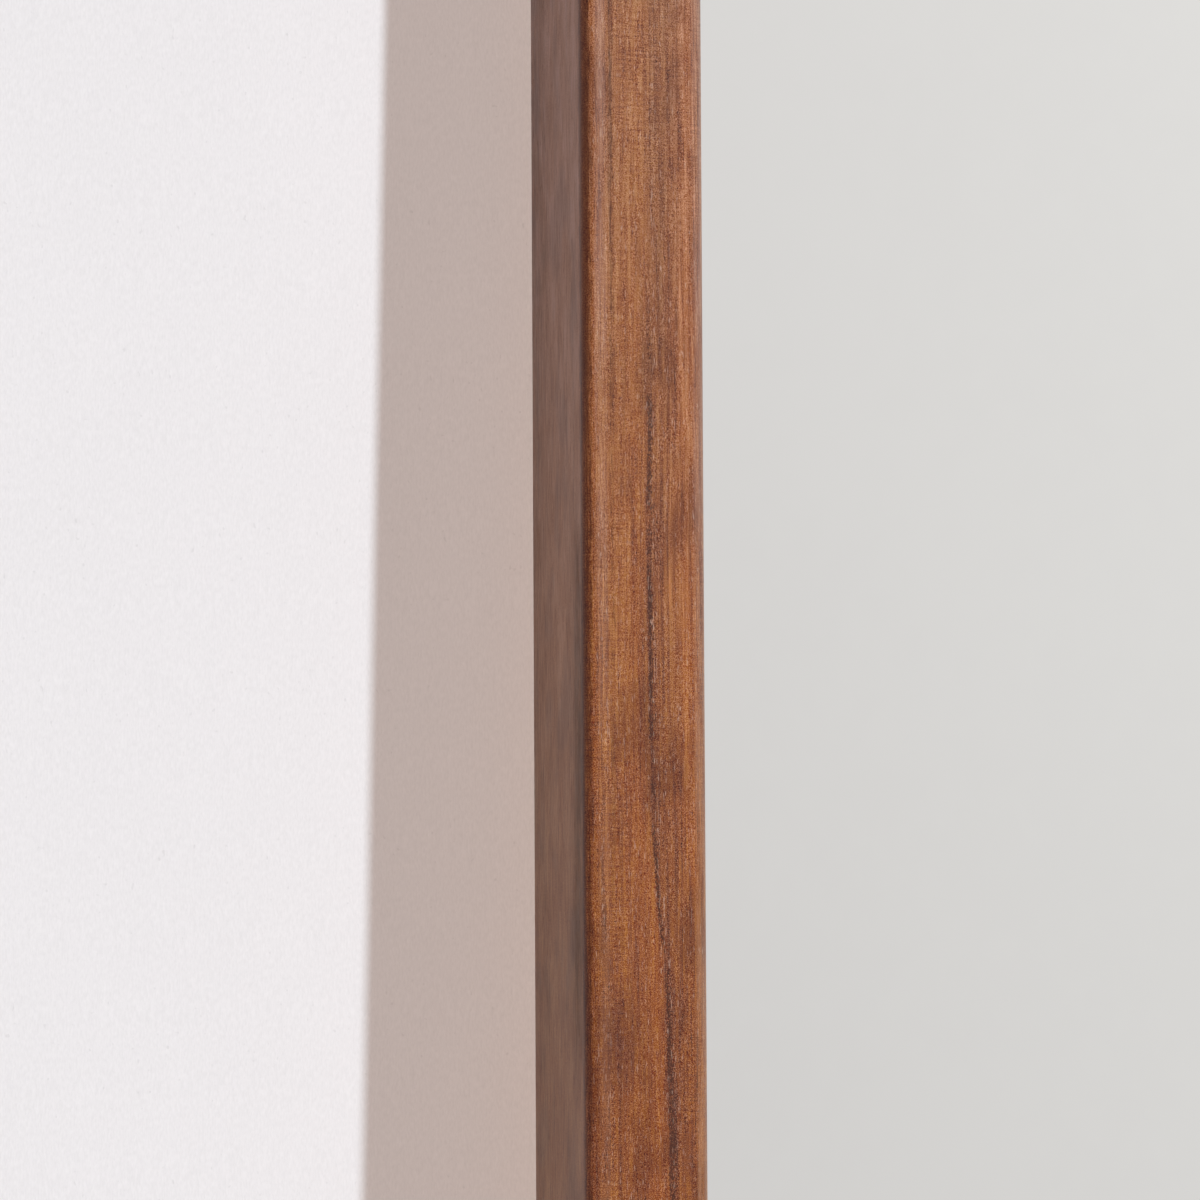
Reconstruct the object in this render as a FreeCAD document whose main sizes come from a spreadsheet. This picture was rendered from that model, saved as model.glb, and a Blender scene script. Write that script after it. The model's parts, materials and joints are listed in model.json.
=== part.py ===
import FreeCAD, Part
import math
import os
import re
import Sketcher

# A leaner mirror: a slim mitred hardwood frame that holds a full-length mirror glass.
# X runs across the mirror, Y from its front to its back, Z up. The floor is at Z = 0.

# Driving sizes in millimetres, one sheet cell each
SIZES = {
    # hardwood frame
    "frame_width": 700,
    "frame_height": 1800,
    "face_width": 30,
    "leg_width": 20,
    "lip_depth": 11,
    "outer_round": 3,
    "inner_round": 5,
    "back_round": 1.5,
    "cut_overrun": 5,
    # hardwood key across each mitre
    "key_length": 20,
    "key_width": 12,
    "key_thick": 4,
    "key_clearance": 0.1,
    # what the rabbet holds, from front to back
    "tape_width": 6,
    "tape_thick": 1,
    "tape_setback": 1.5,
    "glass_thick": 5,
    "glass_arris": 0.5,
    "film_thick": 0.2,
    "filler_thick": 3.5,
    "board_thick": 9,
    "board_arris": 0.5,
    "board_recess": 0.3,
    "edge_gap": 1.5,
    "block_length": 60,
    "block_place_share": 0.25,
    # countersunk screws of the braces and hangers
    "flat_head_diameter": 7,
    "flat_shank_diameter": 3.5,
    "flat_screw_length": 16,
    "flat_tip_length": 3,
    "flat_recess_depth": 1.1,
    # pan-head screws of the turn buttons
    "pan_head_diameter": 8,
    "pan_head_height": 2.4,
    "pan_head_round": 1.6,
    "pan_shank_diameter": 4,
    "pan_screw_length": 18,
    "pan_tip_length": 3.5,
    "pan_recess_depth": 1.4,
    # cross recess of every screw
    "recess_width": 1,
    "recess_span_share": 0.55,
    # fits of every screw
    "pilot_clearance": 0.05,
    "plate_clearance": 0.1,
    "pilot_spare": 0.5,
    # flat corner braces
    "plate_land": 0.25,
    "brace_leg": 60,
    "brace_width": 15,
    "brace_inset": 3,
    "brace_round": 3.5,
    "brace_hole_near": 26,
    "brace_hole_far": 50,
    # turn buttons
    "button_round": 7,
    "button_tip_round": 4,
    "button_reach": 26,
    "button_thick": 1.5,
    "button_edge": 0.4,
    "button_pitch": 600,
    "button_clearance": 0.2,
    # hangers with swinging rings
    "hanger_drop": 480,
    "hanger_width": 10,
    "hanger_length": 40,
    "hanger_round": 4,
    "hanger_hole_near": 10,
    "hanger_hole_far": 32,
    "ring_wire": 3.2,
    "ring_clearance": 0.3,
    "ring_side_clearance": 1,
    "ring_straight": 10,
    # rubber wall bumpers
    "bumper_base_diameter": 14,
    "bumper_top_diameter": 12,
    "bumper_height": 6,
    "bumper_round": 1.2,
    "bumper_from_side": 95,
    # rubber floor pads
    "pad_length": 80,
    "pad_width": 22,
    "pad_height": 3,
    "pad_arris": 0.6,
    "pad_from_side": 40,
}

# Sizes that follow from the driving ones
DERIVED = {
    "rabbet_depth": "tape_thick + glass_thick + film_thick + filler_thick + board_thick"
                    " + board_recess",
    "frame_depth": "lip_depth + rabbet_depth",
    "key_slot_along": "(key_length / 2 + key_clearance) * sqrt(0.5)",
    "key_slot_across": "(key_width / 2 + key_clearance) * sqrt(0.5)",
    "flat_head_height": "(flat_head_diameter - flat_shank_diameter) / 2",
    "plate_thick": "flat_head_height + plate_land",
    "plate_hole": "flat_shank_diameter + 2 * plate_clearance",
    "countersink": "flat_head_height + plate_clearance",
    "flat_pilot": "flat_shank_diameter + 2 * pilot_clearance",
    "flat_pilot_depth": "flat_screw_length - plate_thick + pilot_spare",
    "pan_pilot": "pan_shank_diameter + 2 * pilot_clearance",
    "pan_seat": "button_clearance + button_thick + button_clearance",
    "pan_pilot_depth": "pan_screw_length - pan_seat + pilot_spare",
    "button_hole": "pan_shank_diameter + 2 * plate_clearance",
    "button_tip_place": "button_reach - button_tip_round",
    "button_sine": "(button_round - button_tip_round) / button_tip_place",
    "button_cosine": "sqrt(1 - button_sine * button_sine)",
    "barrel_inside": "ring_wire / 2 + ring_clearance",
    "barrel_outside": "barrel_inside + plate_thick",
    "ring_bend": "ring_side_clearance + ring_wire / 2",
    "ring_half": "hanger_width / 2 + ring_bend",
    "overall_depth": "frame_depth + 2 * barrel_outside",
    "front_y": "-overall_depth / 2",
    "back_y": "front_y + frame_depth",
    "glass_y": "front_y + lip_depth + tape_thick",
    "film_y": "glass_y + glass_thick",
    "filler_y": "film_y + film_thick",
    "board_y": "filler_y + filler_thick",
    "side_x": "frame_width / 2",
    "top_z": "pad_height + frame_height",
    "middle_z": "pad_height + frame_height / 2",
    "leg_middle": "leg_width / 2",
    "glass_width": "frame_width - 2 * (leg_width + edge_gap)",
    "glass_height": "frame_height - 2 * (leg_width + edge_gap)",
    "tape_place": "face_width - tape_setback - tape_width / 2",
    "tape_inside": "frame_width - 2 * (face_width - tape_setback)",
    "hanger_z": "top_z - hanger_drop",
    "hanger_x": "side_x - leg_middle",
    "bumper_x": "side_x - bumper_from_side",
    "pad_x": "side_x - pad_from_side - pad_length / 2",
    "pad_y": "front_y + (frame_depth + outer_round - back_round - pad_width) / 2",
}

WORD = re.compile(r"[a-z][a-z_]*")
NEAR = 1e-6
SIDES = {"left": -1, "right": 1}

doc = FreeCAD.newDocument("leaner_mirror")
sheet = doc.addObject("Spreadsheet::Sheet", "sizes")
ROWS = list(SIZES.items()) + list(DERIVED.items())
ALIASES = {name for name, content in ROWS}


def formula(text):
    """An expression with the sheet's name put before each alias in it."""
    return WORD.sub(lambda found: f"sizes.{found[0]}" if found[0] in ALIASES else found[0], text)


def fill_sheet():
    """Write every size into the sheet, one row each, under its own alias."""
    for row, (name, content) in enumerate(ROWS, start=1):
        sheet.set(f"A{row}", name)
        sheet.set(f"B{row}", f"={content}" if name in DERIVED else str(content))
        sheet.setAlias(f"B{row}", name)
    doc.recompute()


def value(text):
    """The number that an expression of sheet sizes comes to."""
    return float(sheet.evalExpression(formula(text)))


def bind(item, prop, text):
    """Tie a property of a document object to an expression of sheet sizes."""
    item.setExpression(prop, formula(text))


def place(item, x, y, z, turn=0):
    """Turn an object about Y by quarter or eighth turns and tie its position to the sheet."""
    item.Placement = FreeCAD.Placement(FreeCAD.Vector(), FreeCAD.Rotation(FreeCAD.Vector(0, 1, 0), turn))
    for axis, text in zip("xyz", (x, y, z)):
        bind(item, f"Placement.Base.{axis}", text)


def new_body(label):
    """A body whose label names its file."""
    body = doc.addObject("PartDesign::Body", label)
    body.Label = label
    return body


def new_sketch(body, role, lift="0"):
    """A sketch on one of the body's origin planes, lifted along the plane's normal."""
    sketch = body.newObject("Sketcher::SketchObject", "sketch")
    plane = [feature for feature in body.Origin.OriginFeatures if feature.Role == role][0]
    sketch.AttachmentSupport = [(plane, "")]
    sketch.MapMode = "FlatFace"
    bind(sketch, "AttachmentOffset.Base.z", lift)
    return sketch


def pin_point(sketch, curve, end, u, v):
    """Hold one point of a curve at a place given by two expressions, either of which may be None."""
    for kind, axis, text in (("DistanceX", -2, u), ("DistanceY", -1, v)):
        if text is None:
            continue
        size = value(text)
        if text == "0":
            sketch.addConstraint(Sketcher.Constraint("PointOnObject", curve, end, axis))
            continue
        ends = (-1, 1, curve, end) if size > 0 else (curve, end, -1, 1)
        number = sketch.addConstraint(Sketcher.Constraint(kind, *ends, abs(size)))
        bind(sketch, f"Constraints[{number}]", text if size > 0 else f"-({text})")


def add_outline(sketch, points):
    """A closed outline of straight lines through points given as pairs of expressions."""
    spots = [FreeCAD.Vector(value(u), value(v), 0) for u, v in points]
    first = sketch.GeometryCount
    count = len(points)
    for number in range(count):
        sketch.addGeometry(Part.LineSegment(spots[number], spots[(number + 1) % count]), False)
    for number in range(count):
        after = first + (number + 1) % count
        sketch.addConstraint(Sketcher.Constraint("Coincident", first + number, 2, after, 1))
    for number, (u, v) in enumerate(points):
        pin_point(sketch, first + number, 1, u, v)


def add_circle(sketch, u, v, diameter):
    """A circle whose centre and diameter are expressions."""
    centre = FreeCAD.Vector(value(u), value(v), 0)
    upright = FreeCAD.Vector(0, 0, 1)
    curve = sketch.addGeometry(Part.Circle(centre, upright, value(diameter) / 2), False)
    number = sketch.addConstraint(Sketcher.Constraint("Diameter", curve, value(diameter)))
    bind(sketch, f"Constraints[{number}]", diameter)
    if (u, v) == ("0", "0"):
        sketch.addConstraint(Sketcher.Constraint("Coincident", curve, 3, -1, 1))
    else:
        pin_point(sketch, curve, 3, u, v)


def rectangle(width, height):
    """Corner points of a rectangle about the sketch's origin."""
    right, up = f"({width}) / 2", f"({height}) / 2"
    return [(f"-{right}", f"-{up}"), (right, f"-{up}"), (right, up), (f"-{right}", up)]


def add_pad(body, sketch, length, back=False, both=False):
    """Raise a sketch by a length along its normal, against it, or both ways."""
    pad = body.newObject("PartDesign::Pad", "pad")
    pad.Profile = sketch
    pad.Reversed = back
    pad.Midplane = both
    bind(pad, "Length", length)
    doc.recompute()
    return pad


def add_pocket(body, sketch, depth=None, both=False):
    """Cut a sketch along its normal by a depth, or right through, and check that it cuts."""
    before = body.Shape.Volume
    pocket = body.newObject("PartDesign::Pocket", "pocket")
    pocket.Profile = sketch
    pocket.Reversed = not both
    pocket.Midplane = both
    if depth is None:
        pocket.Type = "ThroughAll"
    else:
        bind(pocket, "Length", depth)
    doc.recompute()
    if not pocket.Shape.Volume < before:
        raise RuntimeError(f"a pocket of {body.Label} cuts nothing")
    return pocket


def add_turned(body, sketch):
    """Turn a half outline about the sketch's upright axis."""
    turned = body.newObject("PartDesign::Revolution", "turned")
    turned.Profile = sketch
    turned.ReferenceAxis = (sketch, ["V_Axis"])
    doc.recompute()
    return turned


def soften(body, kind, size, chosen):
    """Fillet or chamfer those edges of the body's last feature that a test chooses."""
    base = body.Tip
    edges = [f"Edge{number}" for number, edge in enumerate(base.Shape.Edges, start=1) if chosen(edge)]
    feature = body.newObject(f"PartDesign::{kind}", kind.lower())
    feature.Base = (base, edges)
    bind(feature, "Radius" if kind == "Fillet" else "Size", size)
    doc.recompute()
    return feature


def at(edge, **spots):
    """Whether the middle of an edge has the given coordinates."""
    middle = edge.CenterOfMass
    return all(abs(getattr(middle, axis) - spot) < NEAR for axis, spot in spots.items())


def along(edge, axis):
    """Whether an edge is straight and runs along an axis."""
    if not isinstance(edge.Curve, Part.Line):
        return False
    return abs(abs(getattr(edge.Curve.Direction, axis)) - 1) < NEAR


def make_slab(label, width, height, thick, spot, turn=0, arris=None):
    """A flat piece, upright, with its front in the middle of its own frame."""
    body = new_body(label)
    sketch = new_sketch(body, "XZ_Plane")
    add_outline(sketch, rectangle(width, height))
    add_pad(body, sketch, thick, back=True)
    if arris:
        soften(body, "Chamfer", arris, lambda edge: True)
    place(body, *spot, turn)
    return body


def brace_holes():
    """Distances of a brace's screws from the outer end of the frame member they are in."""
    return ["brace_inset + brace_hole_near", "brace_inset + brace_hole_far"]


def make_member(label, length, turn, spot, buttons, hanger=None):
    """A stile or rail: a rabbeted, rounded bar, mitred at both ends, with its pilot holes.

    In its own frame X runs inwards from the outer side, Y is 0 at the back, Z runs along it.
    """
    body = new_body(label)
    sketch = new_sketch(body, "XY_Plane")
    add_outline(sketch, [
        ("0", "0"), ("leg_width", "0"), ("leg_width", "-rabbet_depth"),
        ("face_width", "-rabbet_depth"), ("face_width", "-frame_depth"), ("0", "-frame_depth"),
    ])
    add_pad(body, sketch, length, both=True)
    front, inner = -value("frame_depth"), value("face_width")
    soften(body, "Fillet", "outer_round", lambda edge: at(edge, x=0, y=front))
    soften(body, "Fillet", "inner_round", lambda edge: at(edge, x=inner, y=front))
    soften(body, "Fillet", "back_round", lambda edge: at(edge, x=0, y=0))

    end = f"({length}) / 2"
    mitres = new_sketch(body, "XZ_Plane")
    slots = new_sketch(body, "XZ_Plane", "frame_depth - lip_depth / 2")
    for sign in ("", "-"):
        add_outline(mitres, [
            ("-cut_overrun", f"{sign}({end} + cut_overrun)"),
            ("face_width + cut_overrun", f"{sign}({end} - face_width - cut_overrun)"),
            ("face_width + cut_overrun", f"{sign}({end} + cut_overrun)"),
        ])
        add_outline(slots, [
            ("face_width / 2 + key_slot_along + key_slot_across",
             f"{sign}({end} - face_width / 2 - key_slot_along + key_slot_across)"),
            ("face_width / 2 + key_slot_along - key_slot_across",
             f"{sign}({end} - face_width / 2 - key_slot_along - key_slot_across)"),
            ("face_width / 2 - key_slot_along - key_slot_across",
             f"{sign}({end} - face_width / 2 + key_slot_along - key_slot_across)"),
            ("face_width / 2 - key_slot_along + key_slot_across",
             f"{sign}({end} - face_width / 2 + key_slot_along + key_slot_across)"),
        ])
    add_pocket(body, mitres, both=True)
    add_pocket(body, slots, "key_thick + 2 * key_clearance", both=True)

    pan_holes = new_sketch(body, "XZ_Plane")
    for height in buttons:
        add_circle(pan_holes, "leg_middle", height, "pan_pilot")
    add_pocket(body, pan_holes, "pan_pilot_depth")

    flat_holes = new_sketch(body, "XZ_Plane")
    for distance in brace_holes():
        for sign in ("", "-"):
            add_circle(flat_holes, "brace_inset + brace_width / 2", f"{sign}({end} - ({distance}))",
                       "flat_pilot")
    if hanger is not None:
        for hole in ("hanger_hole_near", "hanger_hole_far"):
            add_circle(flat_holes, "leg_middle", f"{hanger}({end} - hanger_drop - {hole})", "flat_pilot")
    add_pocket(body, flat_holes, "flat_pilot_depth")
    place(body, *spot, turn)
    return body


def make_frame():
    """The two stiles, the two rails and the hidden keys that hold their mitres."""
    heights = ["-button_pitch", "0", "button_pitch"]
    members = [
        make_member("left_stile", "frame_height", 0, ("-side_x", "back_y", "middle_z"), heights, ""),
        make_member("right_stile", "frame_height", 180, ("side_x", "back_y", "middle_z"), heights, "-"),
        make_member("top_rail", "frame_width", 90, ("0", "back_y", "top_z"), ["0"]),
        make_member("bottom_rail", "frame_width", -90, ("0", "back_y", "pad_height"), ["0"]),
    ]
    levels = {"top": ("top_z - face_width / 2", -1), "bottom": ("pad_height + face_width / 2", 1)}
    for side, sign in SIDES.items():
        for level, (z, lean) in levels.items():
            x = f"{sign} * (side_x - face_width / 2)"
            y = "front_y + (lip_depth - key_thick) / 2"
            key = make_slab(f"mitre_key_{level}_{side}", "key_length", "key_width", "key_thick",
                            (x, y, z), sign * lean * 45)
            members.append(key)
    return members


def make_glazing():
    """The tape, the setting blocks, the glass with its film, the filler and the back board."""
    tape_y = "front_y + lip_depth"
    tape_height = "frame_height - 2 * (tape_place - tape_width / 2)"
    pieces = []
    for side, sign in SIDES.items():
        pieces.append(make_slab(f"glazing_tape_{side}", "tape_width", tape_height, "tape_thick",
                                (f"{sign} * (side_x - tape_place)", tape_y, "middle_z")))
        place_of_block = f"{sign} * block_place_share * glass_width"
        pieces.append(make_slab(f"setting_block_{side}", "block_length", "edge_gap",
                                "back_y - board_recess - glass_y",
                                (place_of_block, "glass_y", "pad_height + leg_width + edge_gap / 2")))
    tape_length = "tape_inside - 2 * tape_width"
    for level, z in (("top", "top_z - tape_place"), ("bottom", "pad_height + tape_place")):
        pieces.append(make_slab(f"glazing_tape_{level}", tape_length, "tape_width", "tape_thick",
                                ("0", tape_y, z)))
    for label, thick, y, arris in (
        ("mirror_glass", "glass_thick", "glass_y", "glass_arris"),
        ("safety_film", "film_thick", "film_y", None),
        ("filler_board", "filler_thick", "filler_y", None),
        ("back_board", "board_thick", "board_y", "board_arris"),
    ):
        pieces.append(make_slab(label, "glass_width", "glass_height", thick, ("0", y, "middle_z"),
                                arris=arris))
    return pieces


def add_recess(body, lift, depth, head):
    """Cut a cross recess into a screw's head."""
    span = f"recess_span_share * {head}"
    for width, height in ((span, "recess_width"), ("recess_width", span)):
        sketch = new_sketch(body, "XZ_Plane", lift)
        add_outline(sketch, rectangle(width, height))
        add_pocket(body, sketch, depth)


def make_flat_screw():
    """A countersunk wood screw along Y, with the top of its head at Y = 0."""
    body = new_body("flat_screw")
    sketch = new_sketch(body, "XY_Plane")
    add_outline(sketch, [
        ("0", "0"), ("flat_head_diameter / 2", "0"), ("flat_shank_diameter / 2", "-flat_head_height"),
        ("flat_shank_diameter / 2", "flat_tip_length - flat_screw_length"), ("0", "-flat_screw_length"),
    ])
    add_turned(body, sketch)
    add_recess(body, "0", "flat_recess_depth", "flat_head_diameter")
    return body


def make_pan_screw():
    """A pan-head wood screw along Y, with the underside of its head at Y = 0."""
    body = new_body("pan_screw")
    sketch = new_sketch(body, "XY_Plane")
    add_outline(sketch, [
        ("0", "pan_head_height"), ("pan_head_diameter / 2", "pan_head_height"),
        ("pan_head_diameter / 2", "0"), ("pan_shank_diameter / 2", "0"),
        ("pan_shank_diameter / 2", "pan_tip_length - pan_screw_length"), ("0", "-pan_screw_length"),
    ])
    add_turned(body, sketch)
    top = value("pan_head_height")
    soften(body, "Fillet", "pan_head_round",
           lambda edge: isinstance(edge.Curve, Part.Circle) and at(edge, y=top))
    add_recess(body, "-pan_head_height", "pan_recess_depth", "pan_head_diameter")
    return body


def make_group(label, screw, spots):
    """One node of like screws, each a solid of its own at its own spot."""
    links = []
    for spot in spots:
        link = doc.addObject("App::Link", f"{label}_link")
        link.LinkedObject = screw
        place(link, *spot)
        links.append(link)
    group = doc.addObject("Part::Compound", label)
    group.Label = label
    group.Links = links
    return group


def add_countersunk_holes(body, holes, face_y):
    """Screw holes through a plate, with countersinks on the side that faces the wall."""
    sketch = new_sketch(body, "XZ_Plane")
    for u, v in holes:
        add_circle(sketch, u, v, "plate_hole")
    add_pocket(body, sketch, both=True)
    radius = value("plate_hole") / 2

    def is_rim(edge):
        """Whether an edge is the outer rim of one of the screw holes."""
        return isinstance(edge.Curve, Part.Circle) and abs(edge.Curve.Radius - radius) < NEAR \
            and at(edge, y=value(face_y))

    soften(body, "Chamfer", "countersink", is_rim)


def make_braces(screw):
    """A flat L-shaped brace over each mitre, and the screws of all four."""
    corners = {
        "top_left": (-1, "top_z", -1, 0), "top_right": (1, "top_z", -1, 90),
        "bottom_right": (1, "pad_height", 1, 180), "bottom_left": (-1, "pad_height", 1, -90),
    }
    across = "brace_width / 2"
    holes = [(hole, f"-{across}") for hole in ("brace_hole_near", "brace_hole_far")]
    holes += [(across, f"-{hole}") for hole in ("brace_hole_near", "brace_hole_far")]
    pieces, spots = [], []
    for corner, (sign, level, rise, turn) in corners.items():
        body = new_body(f"corner_brace_{corner}")
        sketch = new_sketch(body, "XZ_Plane")
        add_outline(sketch, [
            ("0", "0"), ("brace_leg", "0"), ("brace_leg", "-brace_width"),
            ("brace_width", "-brace_width"), ("brace_width", "-brace_leg"), ("0", "-brace_leg"),
        ])
        add_pad(body, sketch, "plate_thick", back=True)
        inner = value("brace_width")
        soften(body, "Fillet", "brace_round",
               lambda edge: along(edge, "y") and not at(edge, x=inner, z=-inner))
        add_countersunk_holes(body, holes, "plate_thick")
        place(body, f"{sign} * (side_x - brace_inset)", "back_y", f"{level} + {rise} * brace_inset", turn)
        pieces.append(body)
        for distance in brace_holes():
            for out, up in ((distance, f"brace_inset + {across}"), (f"brace_inset + {across}", distance)):
                spots.append((f"{sign} * (side_x - ({out}))", "back_y + plate_thick",
                              f"{level} + {rise} * ({up})"))
    return pieces + [make_group("corner_brace_screws", screw, spots)]


def make_buttons(screw):
    """The turn buttons that hold the back board, pointing inwards, and their screws."""
    stile_x = "side_x - leg_middle"
    rows = {"upper": "middle_z + button_pitch", "middle": "middle_z", "lower": "middle_z - button_pitch"}
    spots = {}
    for row, z in rows.items():
        spots[f"{row}_left"] = (f"-({stile_x})", z, 0)
        spots[f"{row}_right"] = (stile_x, z, 180)
    spots["top"] = ("0", "top_z - leg_middle", 90)
    spots["bottom"] = ("0", "pad_height + leg_middle", -90)
    pieces = []
    for name, (x, z, turn) in spots.items():
        body = new_body(f"turn_button_{name}")
        blank = new_sketch(body, "XZ_Plane")
        add_circle(blank, "0", "0", "2 * button_round")
        add_pad(body, blank, "button_thick", back=True)
        tongue = new_sketch(body, "XZ_Plane")
        root, root_half = "button_round * button_sine", "button_round * button_cosine"
        tip = "button_tip_place + button_tip_round * button_sine"
        tip_half = "button_tip_round * button_cosine"
        add_outline(tongue, [(root, f"-{root_half}"), (tip, f"-{tip_half}"), (tip, tip_half),
                             (root, root_half)])
        add_pad(body, tongue, "button_thick", back=True)
        end = new_sketch(body, "XZ_Plane")
        add_circle(end, "button_tip_place", "0", "2 * button_tip_round")
        add_pad(body, end, "button_thick", back=True)
        top = value("button_thick")
        soften(body, "Chamfer", "button_edge", lambda edge: at(edge, y=top))
        hole = new_sketch(body, "XZ_Plane")
        add_circle(hole, "0", "0", "button_hole")
        add_pocket(body, hole, both=True)
        place(body, x, "back_y + button_clearance", z, turn)
        pieces.append(body)
    screws = [(x, "back_y + pan_seat", z) for x, z, turn in spots.values()]
    return pieces + [make_group("turn_button_screws", screw, screws)]


def make_hanger_plate(side, sign):
    """A strap screwed to the stile, with a barrel at its top round the ring's straight bar."""
    body = new_body(f"hanger_plate_{side}")
    strap = new_sketch(body, "YZ_Plane")
    add_outline(strap, [
        ("-barrel_outside", "-hanger_length"), ("-barrel_inside", "-hanger_length"),
        ("-barrel_inside", "0"), ("-barrel_outside", "0"),
    ])
    add_pad(body, strap, "hanger_width", both=True)
    foot = -value("hanger_length")
    soften(body, "Fillet", "hanger_round", lambda edge: along(edge, "y") and at(edge, z=foot))
    holes = [("0", f"-{hole}") for hole in ("hanger_hole_near", "hanger_hole_far")]
    add_countersunk_holes(body, holes, "-barrel_inside")
    barrel = new_sketch(body, "YZ_Plane")
    add_circle(barrel, "0", "0", "2 * barrel_outside")
    add_pad(body, barrel, "hanger_width", both=True)
    bore = new_sketch(body, "YZ_Plane")
    add_circle(bore, "0", "0", "2 * barrel_inside")
    add_pocket(body, bore, both=True)
    place(body, f"{sign} * hanger_x", "back_y + barrel_outside", "hanger_z")
    return body


def add_ring_path(body):
    """The ring's middle line: a bar with rounded ends, two straight sides and a half circle."""
    path = new_sketch(body, "XZ_Plane")
    near, low, bend = "ring_half - ring_bend", "-ring_straight", "-ring_bend"
    turns = {"near_right": (near, bend, 0, 90), "round": ("0", low, 180, 360),
             "near_left": (f"-({near})", bend, 90, 180)}
    lines = [(("0", "0"), (near, "0")), (("ring_half", bend), ("ring_half", low)),
             (("-ring_half", low), ("-ring_half", bend)), ((f"-({near})", "0"), ("0", "0"))]
    for ends in lines:
        start, stop = [FreeCAD.Vector(value(u), value(v), 0) for u, v in ends]
        path.addGeometry(Part.LineSegment(start, stop), False)
    for name, (u, v, first, last) in turns.items():
        radius = value("ring_half" if name == "round" else "ring_bend")
        circle = Part.Circle(FreeCAD.Vector(value(u), value(v), 0), FreeCAD.Vector(0, 0, 1), radius)
        path.addGeometry(Part.ArcOfCircle(circle, math.radians(first), math.radians(last)), False)
    joins = [(0, 2, 4, 2), (4, 1, 1, 1), (1, 2, 5, 2), (5, 1, 2, 1), (2, 2, 6, 2), (6, 1, 3, 1)]
    for join in joins:
        path.addConstraint(Sketcher.Constraint("Coincident", *join))
    path.addConstraint(Sketcher.Constraint("Coincident", 0, 1, -1, 1))
    path.addConstraint(Sketcher.Constraint("Coincident", 3, 2, -1, 1))
    pin_point(path, 0, 2, *lines[0][1])
    pin_point(path, 3, 1, *lines[3][0])
    for line in (1, 2):
        pin_point(path, line, 1, *lines[line][0])
        pin_point(path, line, 2, *lines[line][1])
    for curve, (u, v, first, last) in enumerate(turns.values(), start=4):
        pin_point(path, curve, 3, None, v)
    return path


def make_hanger_ring(side, sign):
    """A D-shaped ring of round wire that hangs down from its straight bar in the barrel."""
    body = new_body(f"hanger_ring_{side}")
    path = add_ring_path(body)
    section = new_sketch(body, "YZ_Plane")
    add_circle(section, "0", "0", "ring_wire")
    doc.recompute()
    ring = body.newObject("PartDesign::AdditivePipe", "ring")
    ring.Profile = section
    ring.Spine = (path, [f"Edge{number}" for number in range(1, path.GeometryCount + 1)])
    doc.recompute()
    place(body, f"{sign} * hanger_x", "back_y + barrel_outside", "hanger_z")
    return body


def make_hangers(screw):
    """The strap and the ring of each hanger, and the screws of both."""
    pieces, spots = [], []
    for side, sign in SIDES.items():
        pieces += [make_hanger_plate(side, sign), make_hanger_ring(side, sign)]
        for hole in ("hanger_hole_near", "hanger_hole_far"):
            spots.append((f"{sign} * hanger_x", "back_y + plate_thick", f"hanger_z - {hole}"))
    return pieces + [make_group("hanger_screws", screw, spots)]


def make_rests():
    """The rubber bumpers that lean on the wall and the rubber pads that stand on the floor."""
    pieces = []
    for side, sign in SIDES.items():
        body = new_body(f"wall_bumper_{side}")
        sketch = new_sketch(body, "XY_Plane")
        add_outline(sketch, [
            ("0", "0"), ("bumper_base_diameter / 2", "0"),
            ("bumper_top_diameter / 2", "bumper_height"), ("0", "bumper_height"),
        ])
        add_turned(body, sketch)
        top = value("bumper_height")
        soften(body, "Fillet", "bumper_round",
               lambda edge: isinstance(edge.Curve, Part.Circle) and at(edge, y=top))
        place(body, f"{sign} * bumper_x", "back_y", "top_z - leg_middle")
        pieces.append(body)
        pieces.append(make_slab(f"floor_pad_{side}", "pad_length", "pad_height", "pad_width",
                                (f"{sign} * pad_x", "pad_y", "pad_height / 2"), arris="pad_arris"))
    return pieces


def check_and_write(pieces):
    """Stop if anything failed to build, then write each sub-part to a file named by its label."""
    doc.recompute()
    failed = [item.Label for item in doc.Objects if {"Invalid", "Error"} & set(item.State)]
    if failed:
        raise RuntimeError(f"failed to build: {failed}")
    os.makedirs("parts", exist_ok=True)
    for piece in pieces:
        if piece.Shape.isNull() or not piece.Shape.isValid():
            raise RuntimeError(f"{piece.Label} is not a valid solid")
    for piece in pieces:
        piece.Shape.exportStep(f"parts/{piece.Label}.step")
        print(f"{piece.Label}: {len(piece.Shape.Solids)} solid, {piece.Shape.Volume:.1f} cubic mm")


def main():
    """Build every sub-part of the mirror and write it."""
    fill_sheet()
    flat_screw, pan_screw = make_flat_screw(), make_pan_screw()
    pieces = make_frame() + make_glazing() + make_braces(flat_screw) + make_buttons(pan_screw)
    pieces += make_hangers(flat_screw) + make_rests()
    check_and_write(pieces)


main()
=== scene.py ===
"""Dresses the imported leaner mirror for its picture.

The four frame members are a moulded profile carried along each side, with their own grain
coordinates. Rings, turn buttons, bumpers and pads are grid surfaces. Every other node keeps its solid
and takes a finish made of shader nodes. The studio holds the floor, the wall behind, the lamps and
the camera.
"""

import json
import logging
import math
from dataclasses import dataclass, field
from enum import Enum
from typing import ClassVar, Dict, List, Optional, Sequence, Tuple, Union

import bpy
import numpy as np
from mathutils import Matrix, Vector


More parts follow.
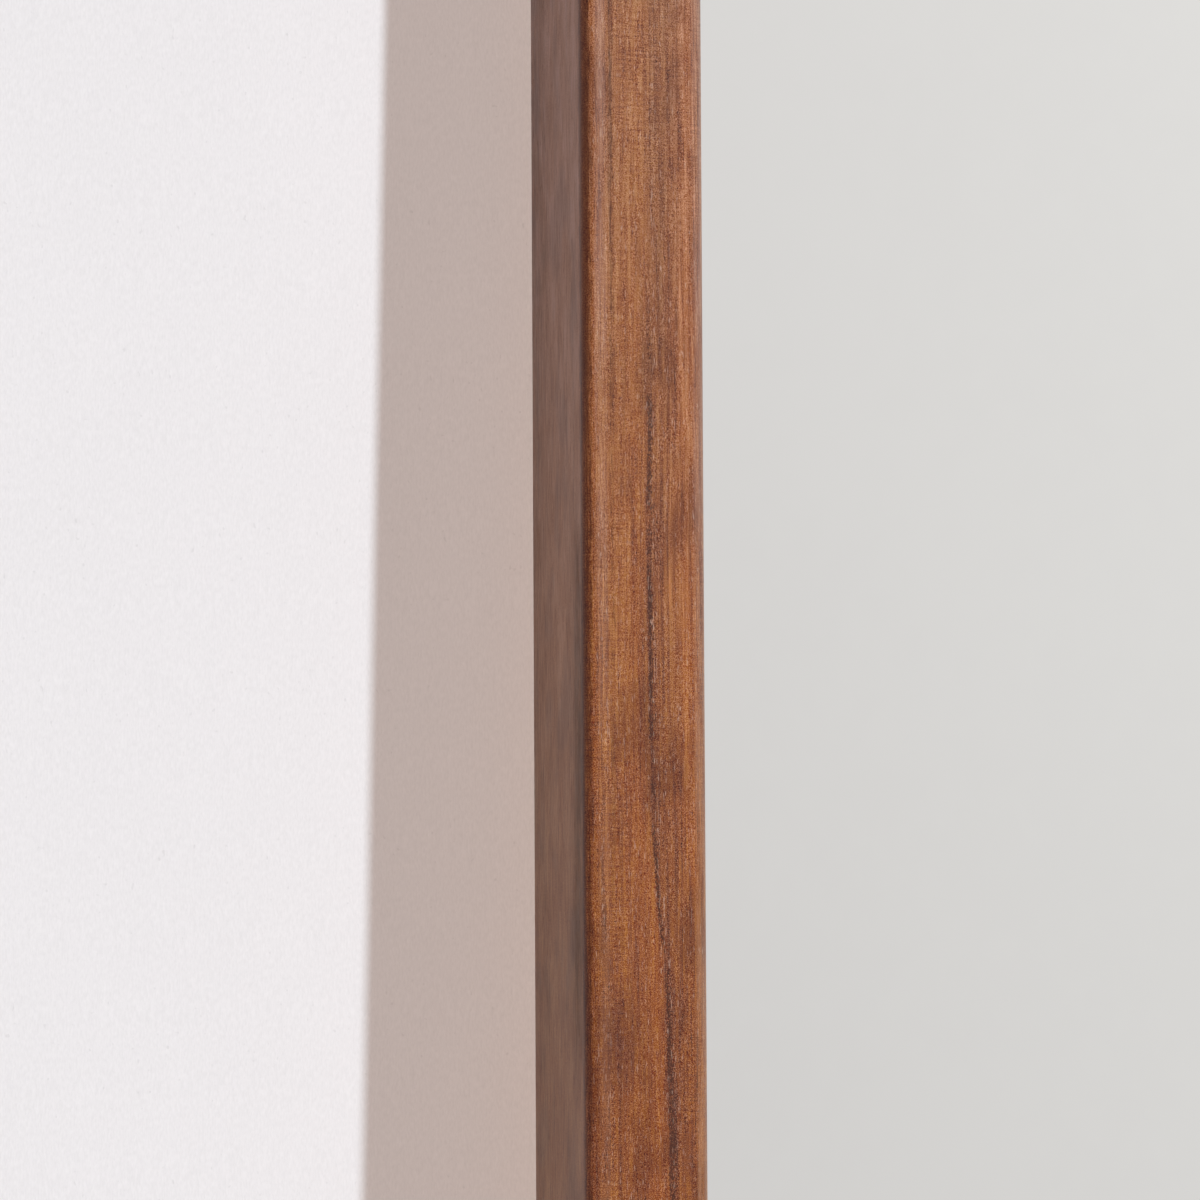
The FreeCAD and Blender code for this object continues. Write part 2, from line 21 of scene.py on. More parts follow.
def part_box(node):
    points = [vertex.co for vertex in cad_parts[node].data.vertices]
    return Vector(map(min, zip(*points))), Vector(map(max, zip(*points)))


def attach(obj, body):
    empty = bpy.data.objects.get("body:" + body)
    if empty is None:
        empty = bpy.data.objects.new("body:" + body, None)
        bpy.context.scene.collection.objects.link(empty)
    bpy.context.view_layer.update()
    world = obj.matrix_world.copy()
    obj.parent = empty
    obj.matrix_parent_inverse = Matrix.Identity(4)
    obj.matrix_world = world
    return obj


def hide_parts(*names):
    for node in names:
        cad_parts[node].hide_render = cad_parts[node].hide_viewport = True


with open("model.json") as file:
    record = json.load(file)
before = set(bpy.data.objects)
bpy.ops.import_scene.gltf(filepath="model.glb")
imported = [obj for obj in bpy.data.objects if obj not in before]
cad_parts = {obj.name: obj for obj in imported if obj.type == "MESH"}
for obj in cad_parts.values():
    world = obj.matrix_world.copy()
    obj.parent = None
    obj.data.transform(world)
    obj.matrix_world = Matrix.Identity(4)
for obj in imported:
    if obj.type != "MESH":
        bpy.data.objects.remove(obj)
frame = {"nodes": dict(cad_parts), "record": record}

LOG = logging.getLogger("leaner_mirror")
MM = 0.001
SIGNS = {"left": -1.0, "right": 1.0}

Colour = Tuple[float, float, float]
Triple = Tuple[float, float, float]
Pair = Tuple[float, float]
Stops = Sequence[Tuple[float, Colour]]
Socket = bpy.types.NodeSocket
Feed = Union[float, Triple, Socket]


class Slot(Enum):
    """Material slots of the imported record."""

    HARDWOOD = "oiled_hardwood"
    KEY = "key_beech"
    TAPE = "tape_foam"
    BLOCK = "block_rubber"
    MIRROR = "silvered_glass"
    FILM = "safety_film"
    CARD = "filler_card"
    BOARD = "back_board"
    ZINC = "zinc_steel"
    SCREW = "screw_steel"
    BUTTON = "button_steel"
    RING = "ring_steel"
    BUMPER = "bumper_rubber"
    PAD = "pad_rubber"


class Side(Enum):
    """The four members of the frame, by the node that each one stands for."""

    LEFT = "left_stile"
    RIGHT = "right_stile"
    TOP = "top_rail"
    BOTTOM = "bottom_rail"


# Mesh making


def grid_quads(rows: int, columns: int, wrap_rows: bool, wrap_columns: bool) -> np.ndarray:
    """Joins a grid of points into quads, point number row * columns + column.

    Args:
        rows: number of rows of points.
        columns: number of points in a row.
        wrap_rows: whether the last row joins the first.
        wrap_columns: whether a row's last point joins its first.

    Returns:
        An array of four point numbers for each quad.
    """
    row = np.arange(rows if wrap_rows else rows - 1)[:, None]
    column = np.arange(columns if wrap_columns else columns - 1)[None, :]
    next_row = (row + 1) % rows
    next_column = (column + 1) % columns
    corners = (
        row * columns + column,
        row * columns + next_column,
        next_row * columns + next_column,
        next_row * columns + column,
    )
    return np.stack(corners, axis=-1).reshape(-1, 4)


def mesh_piece(
    name: str,
    points: np.ndarray,
    quads: np.ndarray,
    caps: Sequence[np.ndarray] = (),
    values: Optional[Dict[str, np.ndarray]] = None,
    sharp: float = 32.0,
) -> bpy.types.Object:
    """Puts a surface into a mesh object at the origin, smooth apart from its sharp edges.

    Args:
        name: the piece's name.
        points: one row of x, y and z in millimetres for each point.
        quads: four point numbers for each quad.
        caps: point numbers of each many-sided closing face.
        values: named values for each point, one number or three.
        sharp: angle in degrees from which an edge stays sharp.

    Returns:
        The new object, linked to the scene.
    """
    mesh = bpy.data.meshes.new(name)
    faces = quads.tolist() + [cap.tolist() for cap in caps]
    mesh.from_pydata((points * MM).tolist(), [], faces)
    for key, value in (values or {}).items():
        kind, slot = ("FLOAT", "value") if value.ndim == 1 else ("FLOAT_VECTOR", "vector")
        layer = mesh.attributes.new(key, kind, "POINT")
        layer.data.foreach_set(slot, value.astype(np.float32).ravel())
    mesh.polygons.foreach_set("use_smooth", np.ones(len(faces), dtype=bool))
    mesh.set_sharp_from_angle(angle=math.radians(sharp))
    mesh.update()
    piece = bpy.data.objects.new(name, mesh)
    bpy.context.scene.collection.objects.link(piece)
    return piece


def outward(points: np.ndarray, quads: np.ndarray) -> np.ndarray:
    """Turns a closed grid's quads over where the volume inside them comes out negative.

    Args:
        points: one row of coordinates for each point.
        quads: four point numbers for each quad.

    Returns:
        The quads, facing outwards.
    """
    a, b, c, d = (points[quads[:, index]] for index in range(4))
    twice = np.einsum("ij,ij->i", a, np.cross(b, c)) + np.einsum("ij,ij->i", a, np.cross(c, d))
    return quads if twice.sum() > 0.0 else quads[:, ::-1]


def end_caps(rows: int, columns: int) -> Tuple[np.ndarray, np.ndarray]:
    """Point numbers of a grid's first row, turned over, and of its last row."""
    first = np.arange(columns)
    return first[::-1], first + (rows - 1) * columns


def smooth_step(value: np.ndarray, low: float, high: float) -> np.ndarray:
    """Rises from 0 at low to 1 at high with level ends: 3t squared less 2t cubed."""
    share = np.clip((value - low) / (high - low), 0.0, 1.0)
    return share * share * (3.0 - 2.0 * share)


def arc(centre: Pair, radii: Pair, start: float, end: float, steps: int) -> np.ndarray:
    """Points of an elliptical arc: centre plus each radius times the cosine and sine of the angle.

    Args:
        centre: the ellipse's centre.
        radii: its two half axes.
        start: first angle in degrees.
        end: last angle in degrees.
        steps: number of parts the arc is divided into.

    Returns:
        steps + 1 rows of two coordinates.
    """
    angle = np.radians(np.linspace(start, end, steps + 1))
    ring = np.stack((np.cos(angle), np.sin(angle)), axis=-1)
    return np.array(centre) + np.array(radii) * ring


def run(start: Pair, end: Pair, steps: int) -> np.ndarray:
    """Points of a straight run without its two ends, steps parts long."""
    share = np.linspace(0.0, 1.0, steps + 1)[1:-1, None]
    return np.asarray(start) * (1.0 - share) + np.asarray(end) * share


def full_turn(parts: int) -> np.ndarray:
    """Angles of a whole turn in equal parts, in radians."""
    return np.radians(np.linspace(0.0, 360.0, parts, endpoint=False))


def placed_rows(x: np.ndarray, y: np.ndarray, z: np.ndarray, spot: Triple) -> np.ndarray:
    """Rows of three coordinates of a grid, moved to a spot."""
    grid = np.stack((x, np.broadcast_to(y, x.shape), z), axis=-1)
    return grid.reshape(-1, 3) + np.array(spot)


# Shader making


class Canvas:
    """Lays shader nodes into one tree and links them."""

    def __init__(self, tree: bpy.types.NodeTree) -> None:
        """Keeps the tree that every node goes into."""
        self.tree = tree

    def node(self, kind: str, **settings: object) -> bpy.types.Node:
        """Adds a node of a kind and sets its own properties."""
        made = self.tree.nodes.new(kind)
        for key, value in settings.items():
            setattr(made, key, value)
        return made

    def feed(self, socket: Socket, value: Feed) -> None:
        """Links a socket to another one, or sets its own value."""
        if isinstance(value, bpy.types.NodeSocket):
            self.tree.links.new(value, socket)
        elif isinstance(value, tuple) and len(socket.default_value) == 4:
            socket.default_value = (*value, 1.0)
        else:
            socket.default_value = value

    def feed_row(self, node: bpy.types.Node, *values: Feed) -> None:
        """Feeds a node's first inputs in order."""
        for index, value in enumerate(values):
            self.feed(node.inputs[index], value)

    def feed_all(self, node: bpy.types.Node, values: Dict[str, Feed]) -> None:
        """Feeds a node's inputs by name."""
        for key, value in values.items():
            self.feed(node.inputs[key], value)

    def place(self) -> Socket:
        """Adds the object coordinates, in metres."""
        return self.node("ShaderNodeTexCoord").outputs["Object"]

    def calc(self, operation: str, first: Feed, second: Feed = 0.0) -> Socket:
        """Puts two values through a Math node."""
        made = self.node("ShaderNodeMath", operation=operation)
        self.feed_row(made, first, second)
        return made.outputs[0]

    def times(self, first: Feed, second: Feed) -> Socket:
        """Multiplies two values."""
        return self.calc("MULTIPLY", first, second)

    def total(self, *parts: Feed) -> Socket:
        """Adds several values up."""
        sum_so_far = parts[0]
        for part in parts[1:]:
            sum_so_far = self.calc("ADD", sum_so_far, part)
        return sum_so_far

    def vector(self, operation: str, first: Feed, second: Feed) -> Socket:
        """Puts two vectors through a Vector Math node."""
        made = self.node("ShaderNodeVectorMath", operation=operation)
        self.feed_row(made, first, second)
        return made.outputs[0]

    def millimetres(self, place: Socket) -> Socket:
        """Turns coordinates in metres into millimetres."""
        return self.vector("MULTIPLY", place, (1.0 / MM, 1.0 / MM, 1.0 / MM))

    def noise(
        self,
        place: Socket,
        cell: Triple,
        detail: float = 1.0,
        rough: float = 0.5,
        shift: float = 0.0,
        output: str = "Fac",
    ) -> Socket:
        """Adds a noise whose cells have a length along each axis.

        Args:
            place: the coordinates, in the unit of the cell.
            cell: the length of one noise cell along each axis.
            detail: number of finer layers.
            rough: share that each finer layer adds.
            shift: offset that makes this noise differ from another one.
            output: Fac for one value, Color for three.

        Returns:
            The noise, from 0 to 1 about a middle of 0.5.
        """
        scaled = self.vector("MULTIPLY", place, tuple(1.0 / length for length in cell))
        if shift:
            scaled = self.vector("ADD", scaled, (shift, -0.7 * shift, 1.3 * shift))
        made = self.node("ShaderNodeTexNoise", noise_dimensions="3D")
        self.feed_all(made, {"Vector": scaled, "Scale": 1.0, "Detail": detail, "Roughness": rough})
        return made.outputs[output]

    def swing(self, noise: Socket, amount: float) -> Socket:
        """Turns a noise into a value about zero, times an amount."""
        return self.times(self.calc("SUBTRACT", noise, 0.5), amount)

    def remap(self, kind: str, *parts: Feed) -> Socket:
        """Puts a value, its low and high, and what they turn into, through a Map Range node."""
        made = self.node("ShaderNodeMapRange", interpolation_type=kind, clamp=True)
        self.feed_row(made, *parts)
        return made.outputs[0]

    def step(
        self, value: Socket, low: float, high: float, first: float = 0.0, last: float = 1.0
    ) -> Socket:
        """Maps a value smoothly from low to high onto first to last."""
        return self.remap("SMOOTHSTEP", value, low, high, first, last)

    def span(
        self, value: Socket, low: float, high: float, first: float = 0.0, last: float = 1.0
    ) -> Socket:
        """Maps a value in a straight line from low to high onto first to last."""
        return self.remap("LINEAR", value, low, high, first, last)

    def blend(self, share: Feed, first: Feed, second: Feed, kind: str = "MIX") -> Socket:
        """Mixes two colours by a share."""
        made = self.node("ShaderNodeMix", data_type="RGBA", blend_type=kind, clamp_result=False)
        self.feed(made.inputs[0], share)
        self.feed(made.inputs[6], first)
        self.feed(made.inputs[7], second)
        return made.outputs[2]

    def ramp(self, value: Socket, stops: Stops) -> Socket:
        """Turns a value into a colour along a row of stops.

        Args:
            value: the value, from 0 to 1.
            stops: place and colour of each stop, in order.

        Returns:
            The ramp's colour.
        """
        made = self.node("ShaderNodeValToRGB")
        bar = made.color_ramp
        bar.interpolation = "LINEAR"
        for index, (place, colour) in enumerate(stops):
            stop = bar.elements[index] if index < 2 else bar.elements.new(place)
            stop.position = place
            stop.color = (*colour, 1.0)
        self.feed(made.inputs[0], value)
        return made.outputs[0]

    def bump(self, height: Socket, strength: float, distance: float) -> Socket:
        """Turns a height into a normal."""
        made = self.node("ShaderNodeBump")
        self.feed_all(made, {"Strength": strength, "Distance": distance, "Height": height})
        return made.outputs["Normal"]

    def group(self, tree: bpy.types.NodeTree, **values: Feed) -> bpy.types.Node:
        """Places a node group and gives it its values."""
        made = self.node("ShaderNodeGroup", node_tree=tree)
        self.feed_all(made, values)
        return made


class SharedGroup:
    """A shader node group that several finishes use, built once."""

    name: str = ""
    inputs: Sequence[Tuple[str, str]] = ()
    outputs: Sequence[Tuple[str, str]] = ()

    @classmethod
    def tree(cls) -> bpy.types.NodeTree:
        """Returns the group's tree, building it on first use."""
        found = bpy.data.node_groups.get(cls.name)
        if found:
            return found
        tree = bpy.data.node_groups.new(cls.name, "ShaderNodeTree")
        for key, kind in cls.inputs:
            tree.interface.new_socket(key, in_out="INPUT", socket_type=kind)
        for key, kind in cls.outputs:
            tree.interface.new_socket(key, in_out="OUTPUT", socket_type=kind)
        canvas = Canvas(tree)
        source = canvas.node("NodeGroupInput")
        canvas.feed_all(canvas.node("NodeGroupOutput"), cls.lay(canvas, source.outputs))
        return tree

    @classmethod
    def lay(cls, canvas: Canvas, given: bpy.types.NodeOutputs) -> Dict[str, Socket]:
        """Lays the group's nodes.

        Args:
            canvas: the tree to lay them in.
            given: the group's input sockets.

        Returns:
            The socket that feeds each output, by name.
        """
        raise NotImplementedError


class SettledDust(SharedGroup):
    """Dust and smudges: pale specks thresholded from a fine noise, and a soft uneven veil."""

    name = "settled_dust"
    inputs = (("Place", "NodeSocketVector"),)
    outputs = (("Specks", "NodeSocketFloat"), ("Veil", "NodeSocketFloat"))

    @classmethod
    def lay(cls, canvas: Canvas, given: bpy.types.NodeOutputs) -> Dict[str, Socket]:
        """Specks are the peaks of a 0.8 mm noise, the veil a 60 mm noise times a 9 mm one."""
        place = canvas.millimetres(given["Place"])
        fine = canvas.noise(place, (0.8, 0.8, 0.8), 0.0)
        wide = canvas.noise(place, (60.0, 60.0, 90.0), 2.0, shift=3.1)
        near = canvas.noise(place, (9.0, 9.0, 9.0), 2.0, shift=7.7)
        veil = canvas.times(wide, near)
        return {
            "Specks": canvas.step(fine, 0.80, 0.88),
            "Veil": canvas.step(veil, 0.12, 0.42),
        }


class MetalMarks(SharedGroup):
    """Marks of plated steel: drawn lines along one axis, a spangle of cells, and dull blotches."""

    name = "metal_marks"
    inputs = (("Place", "NodeSocketVector"), ("Stretch", "NodeSocketVector"))
    outputs = (
        ("Lines", "NodeSocketFloat"),
        ("Spangle", "NodeSocketFloat"),
        ("Blotch", "NodeSocketFloat"),
    )

    @classmethod
    def lay(cls, canvas: Canvas, given: bpy.types.NodeOutputs) -> Dict[str, Socket]:
        """Lines are a noise stretched by the input, spangle a cell tone, blotch a slow noise."""
        place = canvas.millimetres(given["Place"])
        drawn = canvas.vector("MULTIPLY", place, given["Stretch"])
        lines = canvas.noise(drawn, (0.12, 0.12, 0.12), 2.0, 0.6)
        cells = canvas.node("ShaderNodeTexVoronoi", voronoi_dimensions="3D", feature="F1")
        cell_place = canvas.vector("MULTIPLY", place, (0.55, 0.55, 0.55))
        canvas.feed_all(cells, {"Vector": cell_place, "Scale": 1.0})
        grey = canvas.node("ShaderNodeSeparateColor")
        canvas.feed(grey.inputs[0], cells.outputs["Color"])
        blotch = canvas.noise(place, (7.0, 7.0, 7.0), 3.0, 0.6, shift=2.3)
        return {
            "Lines": lines,
            "Spangle": grey.outputs[0],
            "Blotch": canvas.step(blotch, 0.35, 0.72),
        }


class HardwoodFigure(SharedGroup):
    """Figure of an oiled hardwood, on grain coordinates in millimetres with the grain along z.

    Colour zones follow the distance from the member's mineral streak, which a slow noise moves. On
    them lie soft blotches, narrow stripes, threads and dark pores, noises drawn out along the grain on
    coordinates that a slow drift and a quicker waver bend, and a fine stipple of tone and painted
    glints. A cross ripple shows in patches. The streak itself is a crowd of dark specks in broken
    lengths, crisp towards the outer side and loose towards the inner one, with pale flecks beside it
    that are partly painted glints. Fine scratches run along the pale edge strips, which are rubbed
    finish and painted highlight, and the arris beside them carries painted shade. The flank is smoother
    under its own coat of oil, which greys it, and its colour is darker and greyer still with painted
    shade and a painted reflection of the wall. A smoky streak darkens it beside the arris and painted
    shade darkens it towards the back; on the face the same value lays a brown stain.
    """

    name = "hardwood_figure"
    inputs = (
        ("Grain", "NodeSocketVector"),
        ("Streak", "NodeSocketFloat"),
        ("Drift", "NodeSocketFloat"),
        # pale edge strips of rubbed finish and painted highlight, and painted shade on the arris
        ("Rub", "NodeSocketFloat"),
        ("Flank", "NodeSocketFloat"),
        # smoky streaks and stain, with painted shade towards the back
        ("Smoke", "NodeSocketFloat"),
    )
    outputs = (
        ("Colour", "NodeSocketColor"),
        ("Roughness", "NodeSocketFloat"),
        ("Coat", "NodeSocketFloat"),
        ("Height", "NodeSocketFloat"),
    )
    drift_cell: Triple = (40.0, 40.0, 320.0)
    waver_cell: Triple = (6.0, 6.0, 45.0)
    zone_reach: float = 20.0
    zone_stops: Stops = (
        (0.00, (0.61, 0.203, 0.100)),
        (0.26, (0.725, 0.247, 0.111)),
        (0.44, (0.765, 0.250, 0.092)),
        (0.52, (0.575, 0.181, 0.068)),
        (0.60, (0.645, 0.210, 0.086)),
        (0.67, (0.68, 0.222, 0.102)),
        (0.72, (0.86, 0.290, 0.145)),
        (0.82, (0.78, 0.255, 0.128)),
        (1.00, (0.80, 0.245, 0.120)),
    )
    tone_stops: Stops = (
        (0.00, (0.18, 0.105, 0.025)),
        (0.25, (0.325, 0.245, 0.09)),
        (0.50, (0.50, 0.50, 0.385)),
        (0.75, (0.69, 0.86, 0.95)),
        (1.00, (0.92, 1.00, 1.00)),
    )
    drift_stops: Stops = (
        (0.0, (0.72, 0.62, 0.12)),
        (0.5, (0.845, 0.865, 0.58)),
        (1.0, (0.87, 0.985, 1.0)),
    )
    # flank colour: darker and greyer with painted shade and a painted reflection of the wall
    flank_shade_reflection_colour: Colour = (0.315, 0.141, 0.148)
    speck_colour: Colour = (0.045, 0.012, 0.005)
    # pale flecks, partly painted glints
    fleck_glint_colour: Colour = (0.60, 0.42, 0.33)
    darkest: Colour = (0.02, 0.008, 0.003)
    # tint of the fine stipple, which adds tone and painted glints
    stipple_glint_tint: Colour = (1.0, 0.68, 0.55)
    cool_tint: Colour = (0.72, 0.72, 0.82)
    cloud_tint: Colour = (0.68, 0.62, 0.62)
    # colours of the pale strips: bare wood and painted highlight
    bare_highlight_deep: Colour = (0.55, 0.27, 0.135)
    bare_highlight_pale: Colour = (0.52, 0.31, 0.25)
    # painted shade along the arris
    arris_shade_tint: Colour = (0.33, 0.25, 0.21)
    stain_tint: Colour = (0.50, 0.44, 0.60)
    # smoky streaks on the flank, and painted shade towards its back
    smoke_shade_tint: Colour = (0.34, 0.35, 0.42)

    @classmethod
    def bend(cls, canvas: Canvas, grain: Socket) -> Socket:
        """Adds the slow drift and the quicker waver across the grain to the coordinates."""
        bent = grain
        for cell, reach, shift in ((cls.drift_cell, 6.0, 0.0), (cls.waver_cell, 1.0, 4.0)):
            pull = canvas.noise(grain, cell, 1.0, shift=shift, output="Color")
            pull = canvas.vector("SUBTRACT", pull, (0.5, 0.5, 0.5))
            pull = canvas.vector("MULTIPLY", pull, (reach, reach, 0.0))
            bent = canvas.vector("ADD", bent, pull)
        return bent

    @classmethod
    def zones(cls, canvas: Canvas, grain: Socket, distance: Socket) -> Socket:
        """Colours the wide zones beside the streak.

        Args:
            canvas: the tree to lay nodes in.
            grain: the bent grain coordinates.
            distance: distance from the streak's middle line in millimetres.

        Returns:
            Twice the zone's colour, which the tone then halves.
        """
        place = canvas.total(
            distance,
            canvas.swing(canvas.noise(grain, (50.0, 50.0, 150.0), 1.0, shift=30.0), 5.0),
            canvas.swing(canvas.noise(grain, (2.4, 2.4, 26.0), 2.0, shift=33.0), 2.2),
        )
        return canvas.ramp(canvas.span(place, -cls.zone_reach, cls.zone_reach), cls.zone_stops)

    @classmethod
    def streak(
        cls, canvas: Canvas, grain: Socket, given: bpy.types.NodeOutputs
    ) -> Tuple[Socket, Socket, Socket]:
        """Works out the mineral streak, which fades where the wood drifts pale.

        Args:
            canvas: the tree to lay nodes in.
            grain: the grain coordinates.
            given: the group's input sockets.

        Returns:
            The dark specks, the soft shade between them, and the band beside it where flecks lie.
        """
        wander = canvas.swing(canvas.noise(grain, (90.0, 90.0, 12.0), 1.0, shift=5.5), 1.4)
        place = canvas.calc("ADD", given["Streak"], wander)
        along = canvas.noise(grain, (90.0, 90.0, 42.0), 2.0, shift=8.2)
        thick = canvas.span(along, 0.30, 0.66, 0.45, 1.60)
        near = canvas.calc("MAXIMUM", canvas.times(place, -1.7), canvas.times(place, 0.7))
        shade = canvas.step(canvas.calc("DIVIDE", near, thick), 1.0, 0.1)
        shade = canvas.times(shade, canvas.step(given["Drift"], 0.85, 0.45))
        breaks = canvas.noise(grain, (90.0, 90.0, 11.0), 2.0, shift=42.0)
        breaks = canvas.step(breaks, 0.38, 0.52, 0.42, 1.0)
        shade = canvas.times(shade, breaks)
        crowd = canvas.noise(grain, (0.25, 0.25, 0.55), 1.0, 0.6, shift=1.9)
        specks = canvas.calc("ADD", crowd, canvas.span(shade, 0.0, 1.0, -0.16, 0.16))
        band = canvas.times(canvas.step(place, 0.2, 0.8), canvas.step(place, 2.2, 1.2))
        return canvas.step(specks, 0.59, 0.66), shade, band

    @classmethod
    def grade(cls, canvas: Canvas, zone: Socket, tone: Socket, drift: Socket) -> Socket:
        """Lays the tone and the slow drift along the grain on the zone's colour."""
        steps = canvas.ramp(tone, cls.tone_stops)
        slope = canvas.ramp(canvas.span(drift, -1.0, 1.0), cls.drift_stops)
        return canvas.blend(1.0, canvas.blend(1.0, zone, steps, "MULTIPLY"), slope, "MULTIPLY")

    @classmethod
    def wear(cls, canvas: Canvas, colour: Socket, given: bpy.types.NodeOutputs) -> Socket:
        """Pales the edge strips with rubbed finish and painted highlight, and paints shade on the
        arris.

        It also darkens the flank with smoky streaks and painted shade towards the back, and stains the
        face.

        Args:
            canvas: the tree to lay nodes in.
            colour: the wood's colour so far.
            given: the group's input sockets.

        Returns:
            The colour with the pale strips, the painted shade, the smoky streaks and the stain.
        """
        uneven = canvas.noise(given["Grain"], (1.2, 1.2, 22.0), 2.0, shift=28.0)
        uneven = canvas.step(uneven, 0.30, 0.62, 0.25, 1.0)
        # pale edge strips: rubbed finish and painted highlight
        pale = canvas.times(canvas.calc("MAXIMUM", given["Rub"], 0.0), uneven)
        fray = canvas.swing(canvas.noise(given["Grain"], (0.5, 0.5, 3.5), 2.0, 0.6, shift=31.0), 1.5)
        # painted shade along the arris, with a frayed edge
        dark = canvas.step(canvas.calc("SUBTRACT", fray, given["Rub"]), 0.10, 0.95)
        dark = canvas.times(dark, canvas.step(given["Rub"], 0.0, -0.25))
        # colour of the pale strips: bare wood and painted highlight
        bare_highlight = canvas.blend(canvas.span(given["Drift"], -0.6, 0.6), cls.bare_highlight_deep, cls.bare_highlight_pale)
        colour = canvas.blend(canvas.times(pale, 0.40), colour, bare_highlight)
        colour = canvas.blend(dark, colour, cls.arris_shade_tint, "MULTIPLY")
        drawn = canvas.noise(given["Grain"], (0.8, 0.8, 6.0), 2.0, 0.6, shift=34.0)
        drawn = canvas.step(drawn, 0.30, 0.62, 0.45, 1.0)
        # smoky streaks and stain, with painted shade towards the flank's back
        smoke = canvas.times(given["Smoke"], drawn)
        haze = canvas.blend(given["Flank"], cls.stain_tint, cls.smoke_shade_tint)
        return canvas.blend(smoke, colour, haze, "MULTIPLY")

    @classmethod
    def tint(cls, canvas: Canvas, bent: Socket, colour: Socket) -> Socket:
        """Lays cool stripes and soft purple-brown patches over the colour."""
        cool = canvas.noise(bent, (1.3, 1.3, 30.0), 1.5, shift=25.0)
        share = canvas.step(cool, 0.52, 0.70, 0.0, 0.55)
        colour = canvas.blend(share, colour, cls.cool_tint, "MULTIPLY")
        cloud = canvas.noise(bent, (9.0, 9.0, 26.0), 2.0, 0.55, shift=36.0)
        share = canvas.step(cloud, 0.51, 0.66, 0.0, 0.85)
        return canvas.blend(share, colour, cls.cloud_tint, "MULTIPLY")

    @classmethod
    def lay(cls, canvas: Canvas, given: bpy.types.NodeOutputs) -> Dict[str, Socket]:
        """Lays the long layers on the zones, adds the fine ones, and makes a height of them."""
        grain, flank = given["Grain"], given["Flank"]
        bent = cls.bend(canvas, grain)
        face = canvas.calc("SUBTRACT", 1.0, canvas.times(flank, 0.75))
        stripe = canvas.noise(bent, (0.75, 0.75, 42.0), 2.0, 0.6, shift=2.0)
        thread = canvas.noise(bent, (0.30, 0.30, 7.0), 1.0, shift=6.0)
        blotch = canvas.noise(bent, (4.0, 4.0, 17.0), 2.0, 0.6, shift=39.0)
        stipple = canvas.noise(bent, (0.15, 0.15, 0.19), 0.0, shift=9.0)
        hollow = canvas.noise(bent, (0.22, 0.22, 2.4), 0.0, shift=12.0)
        pore = canvas.step(hollow, 0.62, 0.78)
        bright = canvas.noise(bent, (0.17, 0.17, 1.9), 0.0, shift=14.0)
        patch = canvas.noise(grain, (14.0, 14.0, 70.0), 1.0, shift=15.0)
        wave = canvas.noise(bent, (3.6, 3.6, 0.34), 1.0, shift=17.0)
        ripple = canvas.times(canvas.swing(wave, 0.58), canvas.step(patch, 0.34, 0.56))
        specks, shade, band = cls.streak(canvas, grain, given)
        # pale edge strips of rubbed finish and painted highlight, where fine scratches run
        rubbed_highlight_strip = canvas.step(given["Rub"], 0.1, 0.5)
        scratch = canvas.noise(bent, (0.24, 0.24, 11.0), 1.0, shift=19.0)
        inner = canvas.step(given["Streak"], 0.5, 3.0, 0.70, 1.20)
        inner = canvas.calc("SUBTRACT", inner, canvas.times(flank, 0.42))
        tone = canvas.total(
            0.5,
            canvas.times(canvas.swing(stripe, 1.0), inner),
            canvas.swing(thread, 0.55),
            canvas.times(canvas.calc("ADD", canvas.swing(scratch, 1.0), -0.03), rubbed_highlight_strip),
            canvas.swing(blotch, 0.44),
            canvas.times(ripple, face),
            canvas.times(pore, -0.18),
            canvas.times(shade, -0.15),
        )
        zone = cls.zones(canvas, bent, given["Streak"])
        # the flank's colour is darker and greyer with painted shade and a painted reflection of the
        # wall
        zone = canvas.blend(canvas.times(flank, 0.65), zone, cls.flank_shade_reflection_colour)
        colour = cls.grade(canvas, zone, tone, given["Drift"])
        # fine stipple of tone and painted glints
        fine = canvas.times(canvas.swing(stipple, 0.72), face)
        fine = canvas.vector("MULTIPLY", fine, cls.stipple_glint_tint)
        colour = canvas.vector("MAXIMUM", canvas.vector("ADD", colour, fine), cls.darkest)
        colour = cls.tint(canvas, bent, colour)
        colour = canvas.blend(canvas.times(specks, 0.86), colour, cls.speck_colour)
        colour = cls.wear(canvas, colour, given)
        # pale flecks, partly painted glints, beside the streak and on the pale strips
        band = canvas.calc("MAXIMUM", band, canvas.times(rubbed_highlight_strip, 0.35))
        fleck = canvas.calc("ADD", bright, canvas.times(band, 0.06))
        fleck = canvas.step(fleck, 0.72, 0.80, 0.0, 0.5)
        fleck = canvas.times(fleck, canvas.step(given["Rub"], -0.30, -0.02))
        fleck = canvas.times(fleck, face)
        colour = canvas.blend(fleck, colour, cls.fleck_glint_colour)
        height = canvas.total(
            canvas.times(canvas.swing(stipple, 1.2), face),
            canvas.swing(thread, 0.9),
            canvas.swing(stripe, 0.6),
            canvas.times(pore, -0.7),
        )
        rough = canvas.total(
            0.42,
            canvas.swing(stripe, 0.18),
            canvas.times(pore, 0.15),
            canvas.times(flank, -0.04),
        )
        clear = canvas.total(
            0.69,
            canvas.swing(stripe, 0.35),
            canvas.swing(thread, 0.5),
            canvas.swing(blotch, 0.6),
            canvas.times(given["Smoke"], -0.55),
        )
        return {
            "Colour": colour,
            "Roughness": rough,
            "Coat": canvas.times(flank, clear),
            "Height": height,
        }


# Finishes


